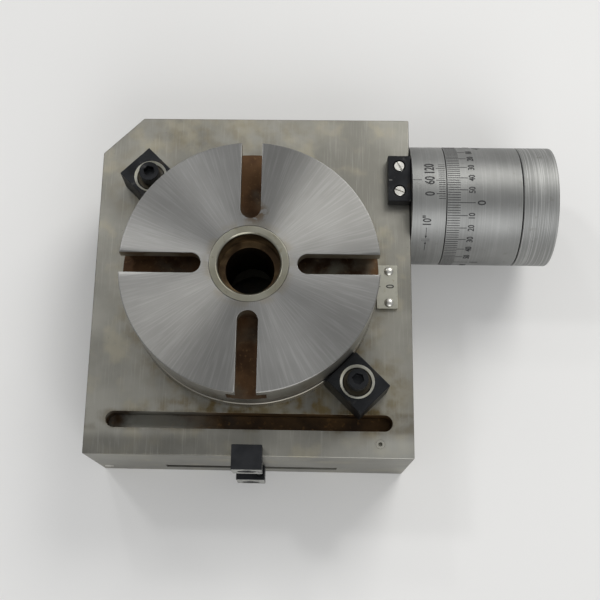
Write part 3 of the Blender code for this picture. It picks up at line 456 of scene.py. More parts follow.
cut(base_block,
    drilled("oiler_room", 2.8 * MM, (oiler_middle.x, base_low.y - MM, oiler_middle.z), (0, 1, 0),
            8 * MM),
    drilled("plug_room", 2.3 * MM, (plug_middle.x, plug_middle.y, BASE_TOP + MM), (0, 0, -1),
            8 * MM))

steel_top = ground_steel("ground_steel_top", (1400, 60, 60), True)
steel_side = ground_steel("ground_steel_side", (60, 60, 1400), False)


def slot_grime():
    """Old oil and rust in a slot that is seldom wiped: brown, and rubbed grey at its left end."""
    material, place = new_finish("slot_grime", 0.7, 0.5)
    cloud = noise(place, 60.0, 6.0)
    specks = noise(place, 420.0, 4.0)
    colour = blend(fade(cloud, 0.35, 0.7), (0.035, 0.02, 0.01), (0.13, 0.075, 0.03))
    colour = blend(fade(specks, 0.55, 0.75) * 0.6, colour, (0.24, 0.13, 0.045))
    bare = fade(split(place)[0], 0.0, -50 * MM) * fade(noise(place, 50.0, 4.0), 0.34, 0.56)
    colour = blend(bare * 0.8, colour, (0.3, 0.3, 0.265))
    return feed(material, colour, 0.38 + cloud * 0.4, specks + cloud, 0.06 * MM)


for finish in (steel_top, steel_side, slot_grime()):
    base_block.data.materials.append(finish)
for face in base_block.data.polygons:
    middle = face.center
    in_slot = (abs(middle.y - slot_y) < SLOT_WIDTH / 2 + GAP
               and abs(middle.x) < SLOT_LENGTH / 2 + GAP and middle.z > BASE_TOP - SLOT_DEPTH - MM)
    if in_slot and not (face.normal.z > 0.9 and middle.z > BASE_TOP - MM):
        face.material_index = 2
    elif face.normal.z < 0.5:
        face.material_index = 1
fitted(base_block, "base_body", "ground_steel", ["base"])

# ---------------------------------------------------------------- underside
# A turned steel disc closes the cavity of the worm wheel from below. Three slotted countersunk
# screws hold it.
cap_low, cap_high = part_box("bottom_cap")
cap_disc = turned("cap_disc", [(cap_high.x, cap_low.z), (cap_high.x, cap_high.z)], sides=128)
cap_screws = []
for number, degrees in enumerate(CAP_SCREW_ANGLES, 1):
    spot = at_angle(degrees, CAP_SCREW_CIRCLE)
    cut(cap_disc, turned("countersink_room", [
        (5.2 * MM, -MM), (SCREW_ROOM, 1.9 * MM), (SCREW_ROOM, 7 * MM)], spot, sides=32))
    screw = turned(f"cap_disc_screw_{number}", [
        (3.4 * MM, 0.3 * MM), (1.6 * MM, 2.1 * MM), (1.6 * MM, 13 * MM)], spot, sides=32)
    cut(screw, block("screw_slot_room", (spot[0] - 6 * MM, spot[1] - 0.5 * MM, -MM),
                     (spot[0] + 6 * MM, spot[1] + 0.5 * MM, 1.2 * MM)))
    cap_screws.append(screw)
eased(cap_disc, 0.3 * MM)
fitted(cap_disc, "base_body", "ground_steel", ["bottom_cap"],
       ground_steel("turned_cap_steel", (900, 900, 60), False))


def black_oxide(name, wear, tint=(0.02, 0.021, 0.023)):
    """Blackened steel: a dark satin skin with pale rubbed specks and brown dried oil."""
    material, place = new_finish(name, 0.85, 0.4)
    cloud = noise(place, 90.0, 5.0)
    fine = noise(place, 900.0, 3.0)
    colour = blend(fade(cloud, 0.35, 0.7), tint, tuple(part * 0.55 for part in tint))
    rubbed = fade(noise(place, 260.0, 6.0), 0.66 - wear, 0.8 - wear)
    colour = blend(rubbed * 0.5, colour, (0.11, 0.107, 0.1))
    oil = fade(noise(place, 120.0, 4.0), 0.58, 0.72)
    colour = blend(oil * 0.4, colour, (0.05, 0.04, 0.025))
    return feed(material, colour, 0.3 + fine * 0.2 + cloud * 0.15, fine + cloud * 0.5,
                0.012 * MM)


screw_black = black_oxide("screw_black", 0.02)
for number, screw in enumerate(cap_screws, 1):
    fitted(screw, "base_body", "black_oxide", [f"cap_screw_{number}"], screw_black)

# ---------------------------------------------------------------- drive inside the base
# The bronze bearing ring, thrust ring, worm wheel and bushes, the ground steel worm shaft and the
# black screws that hold them. Closed in, and seen only when the table is taken apart.


def bronze():
    """Bearing bronze: turned, warm brown, slightly mottled with oil."""
    material, place = new_finish("bearing_bronze", 1.0, 0.35)
    cloud = noise(place, 80.0, 4.0)
    marks = noise(place, 1500.0, 2.0)
    colour = blend(cloud, (0.58, 0.38, 0.16), (0.42, 0.26, 0.1))
    return feed(material, colour, 0.28 + cloud * 0.2, marks, 0.006 * MM)


bearing_bronze = bronze()
for node in ("table_bearing", "thrust_ring", "worm_wheel", "worm_bush_inner", "worm_bush_outer",
             "friction_ring"):
    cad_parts[node].material_slots[0].material = bearing_bronze
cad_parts["worm_shaft"].material_slots[0].material = steel_side
for part in ("wheel_screw", "sleeve_screw"):
    for number in (1, 2, 3):
        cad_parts[f"{part}_{number}"].material_slots[0].material = screw_black

# ---------------------------------------------------------------- round table
# A turned steel disc on a flanged foot and a spindle. Four T-slots are milled in from the rim to
# near the centre ring. The top keeps the fine rings of its last turning cut.
table_low, table_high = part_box("rotary_plate")
TABLE_TOP = table_high.z
TABLE_RADIUS = table_high.x
GROOVE_RADIUS = TABLE_RADIUS - 6 * MM
GROOVE_TOP = 76 * MM
FLANGE_TOP = 70 * MM
RIM_EDGE = 0.6 * MM
NECK_HALF = 5 * MM  # half widths of the T-slots
WIDE_HALF = 9.5 * MM
NECK_FLOOR = TABLE_TOP - 6 * MM
SLOT_FLOOR = TABLE_TOP - 15 * MM
RING_BORE, RING_SEAT = 19.15 * MM, 55.7 * MM
SPINDLE, SPINDLE_LOW = 30 * MM, 49.7 * MM
WHEEL_SEAT = 22 * MM
SPINDLE_BORE = 15 * MM

table_disc = turned("table_disc", [
    (RING_BORE, TABLE_TOP), (TABLE_RADIUS, TABLE_TOP), (TABLE_RADIUS, GROOVE_TOP),
    (GROOVE_RADIUS, GROOVE_TOP), (GROOVE_RADIUS, FLANGE_TOP), (TABLE_RADIUS, FLANGE_TOP),
    (TABLE_RADIUS, BASE_TOP + GAP), (SPINDLE, BASE_TOP + GAP), (SPINDLE, SPINDLE_LOW),
    (WHEEL_SEAT, SPINDLE_LOW), (WHEEL_SEAT, table_low.z), (SPINDLE_BORE, table_low.z),
    (SPINDLE_BORE, RING_SEAT), (RING_BORE, RING_SEAT), (RING_BORE, TABLE_TOP)],
    sides=256, hollow=True)
edges_eased(table_disc, RIM_EDGE, 3, lambda edge: all(
    abs(v.co.xy.length - TABLE_RADIUS) < NEAR for v in edge.verts)
    and abs(edge.verts[0].co.z - edge.verts[1].co.z) < NEAR)
for quarter in range(4):
    for name, inner, half, low, high in (
            ("wide_room", 22.5 * MM, WIDE_HALF, SLOT_FLOOR, NECK_FLOOR),
            ("neck_room", 23 * MM, NECK_HALF, NECK_FLOOR - MM, TABLE_TOP + MM)):
        cutter = round_slot(name, (inner, -half, low), (TABLE_RADIUS + 2 * MM, half, high),
                            both_ends=False)
        cut(table_disc, rotated(cutter, 90 * quarter))
edges_eased(table_disc, 0.2 * MM, 2, lambda edge: all(
    abs(v.co.z - TABLE_TOP) < NEAR and 22 * MM < v.co.xy.length < TABLE_RADIUS - RIM_EDGE - NEAR
    and min(abs(v.co.x), abs(v.co.y)) < NECK_HALF + NEAR for v in edge.verts))


def turned_table_steel():
    """The faced top: rings too fine to see one by one, which spread light into fans, and radial
    streaks, partly its own marks and partly a painted highlight.
    """
    material, place = new_finish("turned_table_steel", 1.0, 0.34, {
        "Anisotropic": 0.9, "Anisotropic Rotation": 0.25})
    x, y = split(place)[:2]
    ring = ring_distance(x, y)
    angle = x.math("ARCTAN2", y, x)
    polar = place.node("CombineXYZ", None, {0: angle, 1: ring * 0.8, 2: 0.0})
    radial_marks_and_sheen = noise(polar, 60.0, 2.0)
    arcs = noise(place.node("CombineXYZ", None, {0: angle * 0.6, 1: ring * 900.0, 2: 0.0}), 1.6,
                 3.0)
    cloud = noise(place, 30.0, 5.0)
    colour = blend(fade(cloud, 0.35, 0.7), (0.25, 0.247, 0.237), (0.285, 0.282, 0.272))
    # Painted highlight: lighter radial streaks in the colour stand in for the highlight streaks in
    # the fans; the same noise also varies the roughness as real radial marks.
    colour = blend(fade(radial_marks_and_sheen, 0.42, 0.72) * 0.35, colour, (0.4, 0.396, 0.383))
    stain = fade(ring, 24 * MM, 19 * MM) * fade(noise(place, 150.0, 5.0), 0.38, 0.6)
    brown = patch(x, y, (2, 26), (8, 7)) * fade(
        noise(place, 420.0, 4.0), 0.42, 0.56)
    colour = blend(stain * 0.35, colour, (0.24, 0.2, 0.13))
    colour = blend(brown * 0.8, colour, (0.13, 0.08, 0.035))
    scratch = fade(noise(place, 1.0, 2.0, (2600, 90, 90)), 0.74, 0.8) * fade(
        noise(place, 40.0, 2.0), 0.5, 0.62)
    return feed(material, colour, 0.27 + radial_marks_and_sheen * 0.1 + arcs * 0.08 + cloud * 0.06 + stain * 0.1,
                arcs * 0.6 - scratch, 0.003 * MM)


def rim_steel():
    """The turned rim and flange: rings round the axis, dark specks, and a darker, browner band from
    the groove under the rim downwards.
    """
    material, place = new_finish("turned_rim_steel", 1.0, 0.35)
    rings = noise(place, 1.0, 4.0, (40, 40, 2600))
    cloud = noise(place, 40.0, 5.0)
    colour = blend(fade(cloud, 0.35, 0.7), (0.3, 0.29, 0.26), (0.4, 0.39, 0.36))
    specks = fade(noise(place, 260.0, 5.0), 0.6, 0.72)
    colour = blend(specks * 0.55, colour, (0.13, 0.1, 0.065))
    # Darker and browner from just above the groove under the rim downwards, patchy with the cloud.
    low = fade(split(place)[2], FLANGE_TOP + 7 * MM, FLANGE_TOP - MM) * fade(cloud, 0.3, 0.6)
    colour = blend(low * 0.35, colour, (0.2, 0.16, 0.09))
    return feed(material, colour, 0.26 + rings * 0.16 + cloud * 0.12, rings, 0.008 * MM)


def slot_steel():
    """T-slots: milled walls under a film of brown oil, rusty floors, the right one rubbed grey."""
    material, place = new_finish("oiled_slot_steel", 0.8, 0.45)
    x, _, z = split(place)
    cloud = noise(place, 70.0, 6.0)
    grit = noise(place, 500.0, 4.0)
    wall = blend(fade(cloud, 0.4, 0.65), (0.2, 0.175, 0.13), (0.1, 0.07, 0.04))
    rust = blend(fade(cloud, 0.36, 0.66), (0.045, 0.022, 0.01), (0.11, 0.058, 0.026))
    rust = blend(fade(grit, 0.56, 0.74) * 0.5, rust, (0.19, 0.115, 0.05))
    bare = fade(noise(place, 42.0, 4.0), 0.5, 0.66)
    right = fade(x, 20 * MM, 36 * MM) * fade(x, 62 * MM, 48 * MM)
    rust = blend(bare * 0.25 + right * fade(cloud, 0.36, 0.58) * 0.75, rust, (0.19, 0.19, 0.15))
    deep = fade(z, NECK_FLOOR + MM, SLOT_FLOOR + MM)
    colour = blend(deep, wall, rust)
    return feed(material, colour, 0.34 + cloud * 0.35, grit + cloud, 0.05 * MM)


for finish in (turned_table_steel(), rim_steel(), slot_steel()):
    table_disc.data.materials.append(finish)
for face in table_disc.data.polygons:
    middle = face.center
    sunk = middle.z < TABLE_TOP - 0.3 * MM
    reach = middle.xy.length
    in_slot = (min(abs(middle.x), abs(middle.y)) < WIDE_HALF + 0.1 * MM and reach > 22 * MM
               and middle.z > SLOT_FLOOR - 0.1 * MM)
    on_rim = reach > TABLE_RADIUS - MM and face.normal.xy.dot(middle.xy.normalized()) > 0.9
    if sunk and in_slot and not on_rim:
        face.material_index = 2
    elif sunk:
        face.material_index = 1
fitted(table_disc, "table_body", "bright_steel", ["rotary_plate"])

# ---------------------------------------------------------------- centre ring
# A hardened bush with a Morse taper, pressed into the table's bore and ground flush. Its mouth is a
# plain bore for a locating plug.
bush_low, bush_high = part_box("center_bush")
MOUTH_RADIUS = 15 * MM
MOUTH_EDGE = 0.8 * MM
MOUTH_FLOOR = 87.5 * MM
TAPER_TOP, TAPER_END = 11.9 * MM, 11.0 * MM
centre_ring = turned("centre_ring", [
    (TAPER_END, bush_low.z), (bush_high.x, bush_low.z), (bush_high.x, bush_high.z),
    (MOUTH_RADIUS + MOUTH_EDGE, bush_high.z), (MOUTH_RADIUS, bush_high.z - MOUTH_EDGE),
    (MOUTH_RADIUS, MOUTH_FLOOR), (TAPER_TOP, MOUTH_FLOOR), (TAPER_END, bush_low.z)],
    sides=160, hollow=True)
eased(centre_ring, 0.25 * MM)


def ring_steel():
    """Polished hardened steel on top; the bore is brown with old oil and rust, and near black in
    the taper below the mouth's floor.
    """
    material, place = new_finish("centre_ring_steel", 1.0, 0.3)
    x, y, z = split(place)
    cloud = noise(place, 60.0, 5.0)
    rings = noise(place.node("CombineXYZ", None, {0: ring_distance(x, y) * 3000.0}), 1.0, 2.0)
    top = blend(fade(cloud, 0.38, 0.66), (0.33, 0.32, 0.265), (0.24, 0.23, 0.18))
    spots = fade(noise(place, 300.0, 4.0), 0.6, 0.7)
    top = blend(spots * 0.4, top, (0.16, 0.13, 0.08))
    bore = blend(fade(noise(place, 110.0, 6.0), 0.4, 0.62), (0.07, 0.045, 0.025),
                 (0.2, 0.14, 0.075))
    # Near black from just above the mouth's floor downwards, into the taper.
    taper = fade(z, MOUTH_FLOOR + 0.7 * MM, MOUTH_FLOOR - MM)
    bore = blend(taper * 0.85, bore, (0.02, 0.014, 0.01))
    colour = blend(fade(z, TABLE_TOP - 0.9 * MM, TABLE_TOP - 1.4 * MM), top, bore)
    rough = fade(z, TABLE_TOP - MM, TABLE_TOP - 2 * MM)
    return feed(material, colour, 0.24 + cloud * 0.16 + rough * 0.25, rings, 0.003 * MM)


fitted(centre_ring, "table_body", "bright_steel", ["center_bush"], ring_steel())


# ---------------------------------------------------------------- vernier sleeve
# A satin-chromed steel flange screwed to the base's right side. It carries the worm's outer bush,
# and its rim has the index line and the vernier, engraved and filled with black.
sleeve_low, sleeve_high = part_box("vernier_sleeve")
drum_low, drum_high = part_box("dial_drum")
DIAL_RADIUS = (drum_high.z - drum_low.z) / 2
FLANGE_FACE = 81.3 * MM
SPIGOT = 13 * MM
SCREW_SEAT = 92.9 * MM
SCREW_HEAD_ROOM = 3.9 * MM
sleeve = turned("dial_sleeve", [
    (SHAFT_ROOM, sleeve_low.x), (SPIGOT, sleeve_low.x), (SPIGOT, FLANGE_FACE),
    (DIAL_RADIUS, FLANGE_FACE), (DIAL_RADIUS, sleeve_high.x), (SHAFT_ROOM, sleeve_high.x),
    (SHAFT_ROOM, sleeve_low.x)], WORM_AXIS, (1, 0, 0), 192, hollow=True)
for degrees in SLEEVE_SCREW_ANGLES:
    cut(sleeve, turned("sleeve_hole_room", [
        (SCREW_ROOM, base_high.x - MM), (SCREW_ROOM, SCREW_SEAT), (SCREW_HEAD_ROOM, SCREW_SEAT),
        (SCREW_HEAD_ROOM, sleeve_high.x + MM)],
        around_worm(0, degrees, SLEEVE_SCREW_CIRCLE), (1, 0, 0), 32))
eased(sleeve, 0.35 * MM)


def satin_chrome(name, brushed):
    """Satin chrome: pale, even, very fine grain. Brushed adds rings left by a tool or a belt."""
    material, place = new_finish(name, 1.0, 0.36)
    cloud = noise(place, 34.0, 4.0)
    grain = noise(place, 2400.0, 2.0)
    rings = noise(place, 1.0, 4.0, (2600 if brushed else 1500, 25, 25))
    colour = blend(fade(cloud, 0.3, 0.7), (0.21, 0.212, 0.206), (0.27, 0.272, 0.265))
    colour = blend(fade(rings, 0.45, 0.65) * (0.6 if brushed else 0.12), colour,
                   (0.48, 0.482, 0.47))
    dust = fade(noise(place, 210.0, 5.0), 0.62, 0.74)
    colour = blend(dust * 0.35, colour, (0.16, 0.155, 0.135))
    return feed(material, colour, 0.42 + grain * 0.1 + rings * (0.14 if brushed else 0.05),
                grain * 0.4 + rings * (1.0 if brushed else 0.3), 0.004 * MM)


chrome = satin_chrome("satin_chrome", False)
fitted(sleeve, "base_body", "satin_steel", ["vernier_sleeve"], chrome)

LINE_WIDTH = 0.32 * MM
ZERO_ANGLE = 107.8  # of the drum's and the vernier's marks, from +Y towards +Z
VERNIER_ZERO = 99.7
VERNIER_STEP = 2.2


def enamel(name, tint):
    """Filler rubbed into engraved marks: matt, a little worn and uneven."""
    material, place = new_finish(name, 0.0, 0.55)
    wear = noise(place, 700.0, 4.0)
    colour = blend(fade(wear, 0.45, 0.75), tint, tuple(0.02 + part * 0.85 for part in tint))
    return feed(material, colour, 0.45 + wear * 0.2, wear, 0.004 * MM)


black_fill = enamel("black_fill", (0.012, 0.012, 0.013))
white_fill = enamel("white_fill", (0.4, 0.39, 0.36))


def on_dial(x, degrees, above=0.0):
    """A point on the dial's round face, and the direction away from it there."""
    outward = around_worm(0, degrees, 1.0) - WORM_AXIS
    return around_worm(x, degrees, DIAL_RADIUS + above), outward


def dial_lines(name, start, end, first, step=0.0, count=1, width=LINE_WIDTH):
    """One filled line along the axis, copied round the dial by the step in degrees."""
    spot, outward = on_dial((start + end) / 2, first)
    bpy.ops.object.select_all(action="DESELECT")
    bpy.ops.mesh.primitive_cube_add(size=1, location=spot, scale=(end - start, width, 0.09 * MM),
                                    rotation=(math.radians(first - 90), 0, 0))
    piece = settled(name)
    bpy.ops.object.mode_set(mode="EDIT")
    bpy.ops.mesh.select_all(action="SELECT")
    if count > 1:
        bpy.ops.mesh.spin(steps=count - 1, dupli=True, angle=math.radians(step * (count - 1)),
                          center=WORM_AXIS, axis=(-1, 0, 0))
    bpy.ops.object.mode_set(mode="OBJECT")
    return piece


def figure(text, height, spot, up, outward, narrow=0.78):
    """A raised filled figure, narrower than the plain letter, whose middle is at the spot."""
    bpy.ops.object.select_all(action="DESELECT")
    bpy.ops.object.text_add()
    letters = bpy.context.object.data
    letters.body = text
    letters.size = height / 0.7
    letters.extrude = 0.09 * MM
    letters.offset = height * 0.02
    letters.resolution_u = 3
    bpy.ops.object.convert(target="MESH")
    bpy.ops.object.origin_set(type="ORIGIN_GEOMETRY", center="BOUNDS")
    right = up.cross(outward)
    bpy.context.object.matrix_world = Matrix.LocRotScale(
        spot, Matrix((right, up, outward)).transposed(), Vector((narrow, 1, 1)))
    return settled("figure")


def joined(name, pieces):
    bpy.ops.object.select_all(action="DESELECT")
    for piece in pieces:
        piece.select_set(True)
    bpy.context.view_layer.objects.active = pieces[0]
    bpy.ops.object.join()
    return settled(name)


LEFTWARDS = Vector((-1, 0, 0))
edge = sleeve_high.x - 0.35 * MM
marks = [dial_lines("vernier", edge - 3.4 * MM, edge, VERNIER_ZERO + 2 * VERNIER_STEP,
                    -VERNIER_STEP, 17)]
for number in range(3):
    degrees = VERNIER_ZERO - 6 * VERNIER_STEP * number
    marks.append(dial_lines("vernier_long", edge - 4.7 * MM, edge, degrees))
    spot, outward = on_dial(90 * MM, degrees)
    marks.append(figure(("0", "60", "120")[number], 4.9 * MM, spot, LEFTWARDS, outward, 0.66))
marks.append(dial_lines("index", FLANGE_FACE + 0.3 * MM, FLANGE_FACE + 4.6 * MM, 86.3,
                        width=0.3 * MM))
spot, outward = on_dial(88.8 * MM, 124.6)
marks.append(figure('10"', 4.2 * MM, spot, LEFTWARDS, outward, 0.72))
for degrees in (143.9, 145.9):
    marks.append(dial_lines("gauge_bar", 86.6 * MM, 91.0 * MM, degrees, width=0.16 * MM))
for middle, way in ((136.6, 1), (153.2, -1)):  # arrows that point at the two bars
    marks.append(dial_lines("arrow_shaft", 88.65 * MM, 88.95 * MM, middle, width=5.2 * MM))
    spot, outward = on_dial(88.8 * MM, middle + 4.6 * way, -0.04 * MM)
    ahead = outward.cross(LEFTWARDS) * way
    bpy.ops.object.select_all(action="DESELECT")
    bpy.ops.mesh.primitive_circle_add(vertices=3, radius=1.1 * MM, fill_type="NGON")
    head = bpy.context.object
    bpy.ops.object.mode_set(mode="EDIT")
    bpy.ops.mesh.extrude_region_move(TRANSFORM_OT_translate={"value": (0, 0, 0.09 * MM)})
    bpy.ops.mesh.select_all(action="SELECT")
    bpy.ops.mesh.normals_make_consistent(inside=False)
    bpy.ops.object.mode_set(mode="OBJECT")
    head.matrix_world = Matrix.LocRotScale(
        spot, Matrix((ahead.cross(outward), ahead, outward)).transposed(), Vector((0.6, 1, 1)))
    marks.append(settled("arrow_head"))
fitted(joined("sleeve_marks", marks), "base_body", None, [], black_fill)

# ---------------------------------------------------------------- graduated drum
# A satin-chromed collar on the knob's hub. It is held by a friction ring, so it can be set to zero.
# 150 lines go round it, 2 minutes of arc apart: longer each 10 minutes, longest each degree.
HUB_RADIUS = 24 * MM
DRUM_BORE = HUB_RADIUS + GAP
DRUM_LINE = 0.36 * MM
drum = turned("graduated_drum", [
    (DRUM_BORE, drum_low.x), (DIAL_RADIUS, drum_low.x), (DIAL_RADIUS, drum_high.x),
    (DRUM_BORE, drum_high.x), (DRUM_BORE, drum_low.x)], WORM_AXIS, (1, 0, 0), 192, hollow=True)
eased(drum, 0.35 * MM)
fitted(drum, "dial_body", "satin_steel", ["dial_drum"], chrome)

edge = drum_low.x + 0.4 * MM
marks = [
    dial_lines("drum_lines", edge, edge + 6.4 * MM, ZERO_ANGLE, 2.4, 150, DRUM_LINE),
    dial_lines("ten_minutes", edge + 6.4 * MM, edge + 10.2 * MM, ZERO_ANGLE, 12, 30, DRUM_LINE),
    dial_lines("degrees", edge + 10.2 * MM, edge + 14.0 * MM, ZERO_ANGLE, 72, 5, DRUM_LINE)]
for number in range(30):
    degrees = ZERO_ANGLE + 12 * number
    whole, part = divmod(number, 6)
    spot, outward = on_dial((111.5 if part else 116.3) * MM, degrees)
    marks.append(figure(str(part * 10) if part else str(whole), (3.2 if part else 4.1) * MM,
                        spot, LEFTWARDS, outward, 0.78 if part else 0.9))
fitted(joined("drum_marks", marks), "dial_body", None, [], black_fill)

# ---------------------------------------------------------------- knob
# A turned steel handwheel on the worm shaft, brushed round its rim. A washer and a black nut in the
# recess of its end face hold it on the shaft.
knob_low, knob_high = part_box("handwheel")
KNOB_START = 137.8 * MM
KNOB_BORE = 5.3 * MM
RING_GROOVE, RING_GROOVE_START, RING_GROOVE_END = 21.5 * MM, 116.1 * MM, 120.1 * MM
RECESS, RECESS_FLOOR = 21 * MM, 147.8 * MM
WASHER_START, WASHER_END = RECESS_FLOOR + GAP, 149.6 * MM
knob = turned("knob", [
    (KNOB_BORE, knob_low.x), (HUB_RADIUS, knob_low.x), (HUB_RADIUS, RING_GROOVE_START),
    (RING_GROOVE, RING_GROOVE_START), (RING_GROOVE, RING_GROOVE_END),
    (HUB_RADIUS, RING_GROOVE_END), (HUB_RADIUS, KNOB_START), (DIAL_RADIUS, KNOB_START),
    (DIAL_RADIUS, knob_high.x), (RECESS, knob_high.x), (RECESS, RECESS_FLOOR),
    (KNOB_BORE, RECESS_FLOOR), (KNOB_BORE, knob_low.x)], WORM_AXIS, (1, 0, 0), 192, hollow=True)
eased(knob, 0.45 * MM, 3)
brushed_chrome = satin_chrome("brushed_chrome", True)
fitted(knob, "worm_body", "satin_steel", ["handwheel"], brushed_chrome)

washer = turned("knob_washer", [
    (KNOB_BORE, WASHER_START), (11 * MM, WASHER_START), (11 * MM, WASHER_END),
    (KNOB_BORE, WASHER_END), (KNOB_BORE, WASHER_START)], WORM_AXIS, (1, 0, 0), 64, hollow=True)
eased(washer, 0.25 * MM)
fitted(washer, "worm_body", "bright_steel", ["handwheel_washer"], brushed_chrome)

nut_start = WASHER_END + GAP
nut = turned("knob_nut", [(9.2 * MM, nut_start), (9.2 * MM, nut_start + 4.5 * MM)], WORM_AXIS,
             (1, 0, 0), 6)
cut(nut, drilled("nut_room", KNOB_BORE, WORM_AXIS + Vector((nut_start - 0.9 * MM, 0, 0)),
                 (1, 0, 0), 7 * MM, 48))
eased(nut, 0.45 * MM, 3)
fitted(nut, "worm_body", "black_oxide", ["handwheel_nut"], black_oxide("nut_black", 0.05))

# ---------------------------------------------------------------- table clamps
# Two blackened steel blocks on one diagonal, each with a nose that grips the table's flange. A
# socket head screw pulls it down. It stands on a flanged washer in a pocket whose bare steel mouth
# carries a painted highlight.
CLAMP_NOSE_TOP = 75.2 * MM
CLAMP_TOP = 80 * MM
CLAMP_WIDTH = 20 * MM
POCKET_RADIUS = 7.1 * MM
POCKET_FLOOR = 77.2 * MM
POCKET_MOUTH = 1.2 * MM
WASHER_TOP = 80.2 * MM
LOW = BASE_TOP + GAP


def socket_screw(name, seat, axis, shank, length, head, head_height, across):
    """A screw with a round head, a hexagon socket and a plain shank under the head."""
    seat, axis = Vector(seat), Vector(axis)
    screw = turned(name, [(shank, -length), (shank, 0), (head, 0), (head, head_height)], seat,
                   axis, 48)
    cut(screw, turned("socket_room", [
        (across / math.sqrt(3), head_height * 0.42), (across / math.sqrt(3), head_height + MM)],
        seat, axis, 6))
    return eased(screw, 0.3 * MM, 3)


spot = (CLAMP_CIRCLE, 0, 0)
clamp = block("clamp_block", (TABLE_RADIUS - 7.8 * MM, -CLAMP_WIDTH / 2, LOW),
              (TABLE_RADIUS + 23.8 * MM, CLAMP_WIDTH / 2, CLAMP_TOP))
cut(clamp, block("rim_room", (TABLE_RADIUS - 9 * MM, -CLAMP_WIDTH, CLAMP_NOSE_TOP),
                 (TABLE_RADIUS + 0.7 * MM, CLAMP_WIDTH, CLAMP_TOP + MM)))
eased(clamp, 0.5 * MM)
cut(clamp,
    turned("flange_room", [
        (TABLE_RADIUS + 0.5 * MM, LOW - MM), (TABLE_RADIUS + 0.5 * MM, FLANGE_TOP + GAP),
        (GROOVE_RADIUS + 1.2 * MM, FLANGE_TOP + GAP),
        (GROOVE_RADIUS + 1.2 * MM, CLAMP_NOSE_TOP + MM)], sides=256),
    turned("pocket_room", [
        (CLAMP_BORE, LOW - MM), (CLAMP_BORE, POCKET_FLOOR), (POCKET_RADIUS, POCKET_FLOOR),
        (POCKET_RADIUS, CLAMP_TOP - POCKET_MOUTH), (POCKET_RADIUS + POCKET_MOUTH, CLAMP_TOP),
        (POCKET_RADIUS + POCKET_MOUTH, CLAMP_TOP + MM)], spot, sides=96))
washer_low = POCKET_FLOOR + GAP
clamp_washer = turned("clamp_block_washer", [
    (CLAMP_BORE, washer_low), (6.6 * MM, washer_low), (6.6 * MM, washer_low + 1.1 * MM),
    (4.6 * MM, washer_low + 1.1 * MM), (4.6 * MM, WASHER_TOP), (CLAMP_BORE, WASHER_TOP),
    (CLAMP_BORE, washer_low)], spot, sides=64, hollow=True)
eased(clamp_washer, 0.2 * MM)
clamp_screw = socket_screw("clamp_cap_screw", (CLAMP_CIRCLE, 0, WASHER_TOP + GAP), (0, 0, 1),
                           3 * MM, 32.5 * MM, 5 * MM, 6 * MM, 5 * MM)

block_black = black_oxide("block_black", 0.06)


def pocket_steel():
    """The pocket's turned mouth, bare steel where the blacking was cut through and painted far
    brighter as a highlight, and its dull wall.
    """
    material, place = new_finish("pocket_steel", 0.25, 0.3)
    cloud = noise(place, 240.0, 5.0)
    # Painted highlight: the mouth's near-white cream stands in for the glint of light on its
    # chamfer; partly it is the bare steel cut through the blacking.
    bright = blend(fade(cloud, 0.35, 0.7), (0.85, 0.84, 0.75), (0.7, 0.68, 0.56))
    dull = blend(fade(cloud, 0.4, 0.65), (0.2, 0.17, 0.09), (0.1, 0.07, 0.035))
    mouth = fade(split(place)[2], CLAMP_TOP - 1.5 * MM, CLAMP_TOP - 1.1 * MM)
    colour = blend(mouth, dull, bright)
    return feed(material, colour, 0.3 + cloud * 0.2, cloud, 0.01 * MM)


pocket_glint_and_bare_steel = pocket_steel()
for finish in (block_black, pocket_glint_and_bare_steel):
    clamp.data.materials.append(finish)
for face in clamp.data.polygons:
    reach = (face.center.xy - Vector(spot).xy).length
    if POCKET_RADIUS - 0.2 * MM < reach < POCKET_RADIUS + POCKET_MOUTH + 0.05 * MM \
            and face.normal.z < 0.95 and face.center.z > POCKET_FLOOR:
        face.material_index = 1
dull_washer = black_oxide("dull_washer", 0.08, (0.045, 0.038, 0.026))
for end, degrees in CLAMP_ANGLES.items():
    node = f"clamp_{end}"
    fitted(copied(clamp, f"{end}_clamp_block", degrees), node + "_body", "black_oxide", [node])
    fitted(copied(clamp_washer, f"{end}_clamp_washer_ring", degrees), node + "_body",
           "ground_steel", [node + "_washer"], dull_washer)
    fitted(copied(clamp_screw, f"{end}_clamp_cap_screw", degrees), node + "_screw_body",
           "black_oxide", [node + "_screw"], screw_black)
for pattern in (clamp, clamp_washer, clamp_screw):
    bpy.data.objects.remove(pattern)

# ---------------------------------------------------------------- index bracket
# A black steel strip beside the dial, with a short pale setting line. Two bright slotted screws
# in counterbores hold it to the base.
bracket_low, bracket_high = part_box("index_bracket")
bracket = eased(block("index_strip", bracket_low, bracket_high), 0.35 * MM)
COUNTERBORE_FLOOR = 65.6 * MM
slotted = []
for number, turn in ((1, -21), (2, -62)):
    low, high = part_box(f"bracket_screw_{number}")
    middle = (low + high) / 2
    spot = (middle.x, middle.y, 0)
    cut(bracket, turned("counterbore_room", [
        (BRACKET_BORE, LOW - MM), (BRACKET_BORE, COUNTERBORE_FLOOR),
        (3.2 * MM, COUNTERBORE_FLOOR), (3.2 * MM, bracket_high.z + MM)], spot, sides=48))
    screw = turned(f"index_strip_screw_{number}", [
        (1.5 * MM, low.z), (1.5 * MM, COUNTERBORE_FLOOR + GAP),
        (2.75 * MM, COUNTERBORE_FLOOR + GAP), (2.75 * MM, high.z - 0.25 * MM),
        (2.5 * MM, high.z)], spot, sides=48)
    cut(screw, block("slot_room", (middle.x - 4 * MM, middle.y - 0.4 * MM, high.z - 0.9 * MM),
                     (middle.x + 4 * MM, middle.y + 0.4 * MM, high.z + MM), math.radians(turn)))
    slotted.append(eased(screw, 0.12 * MM))
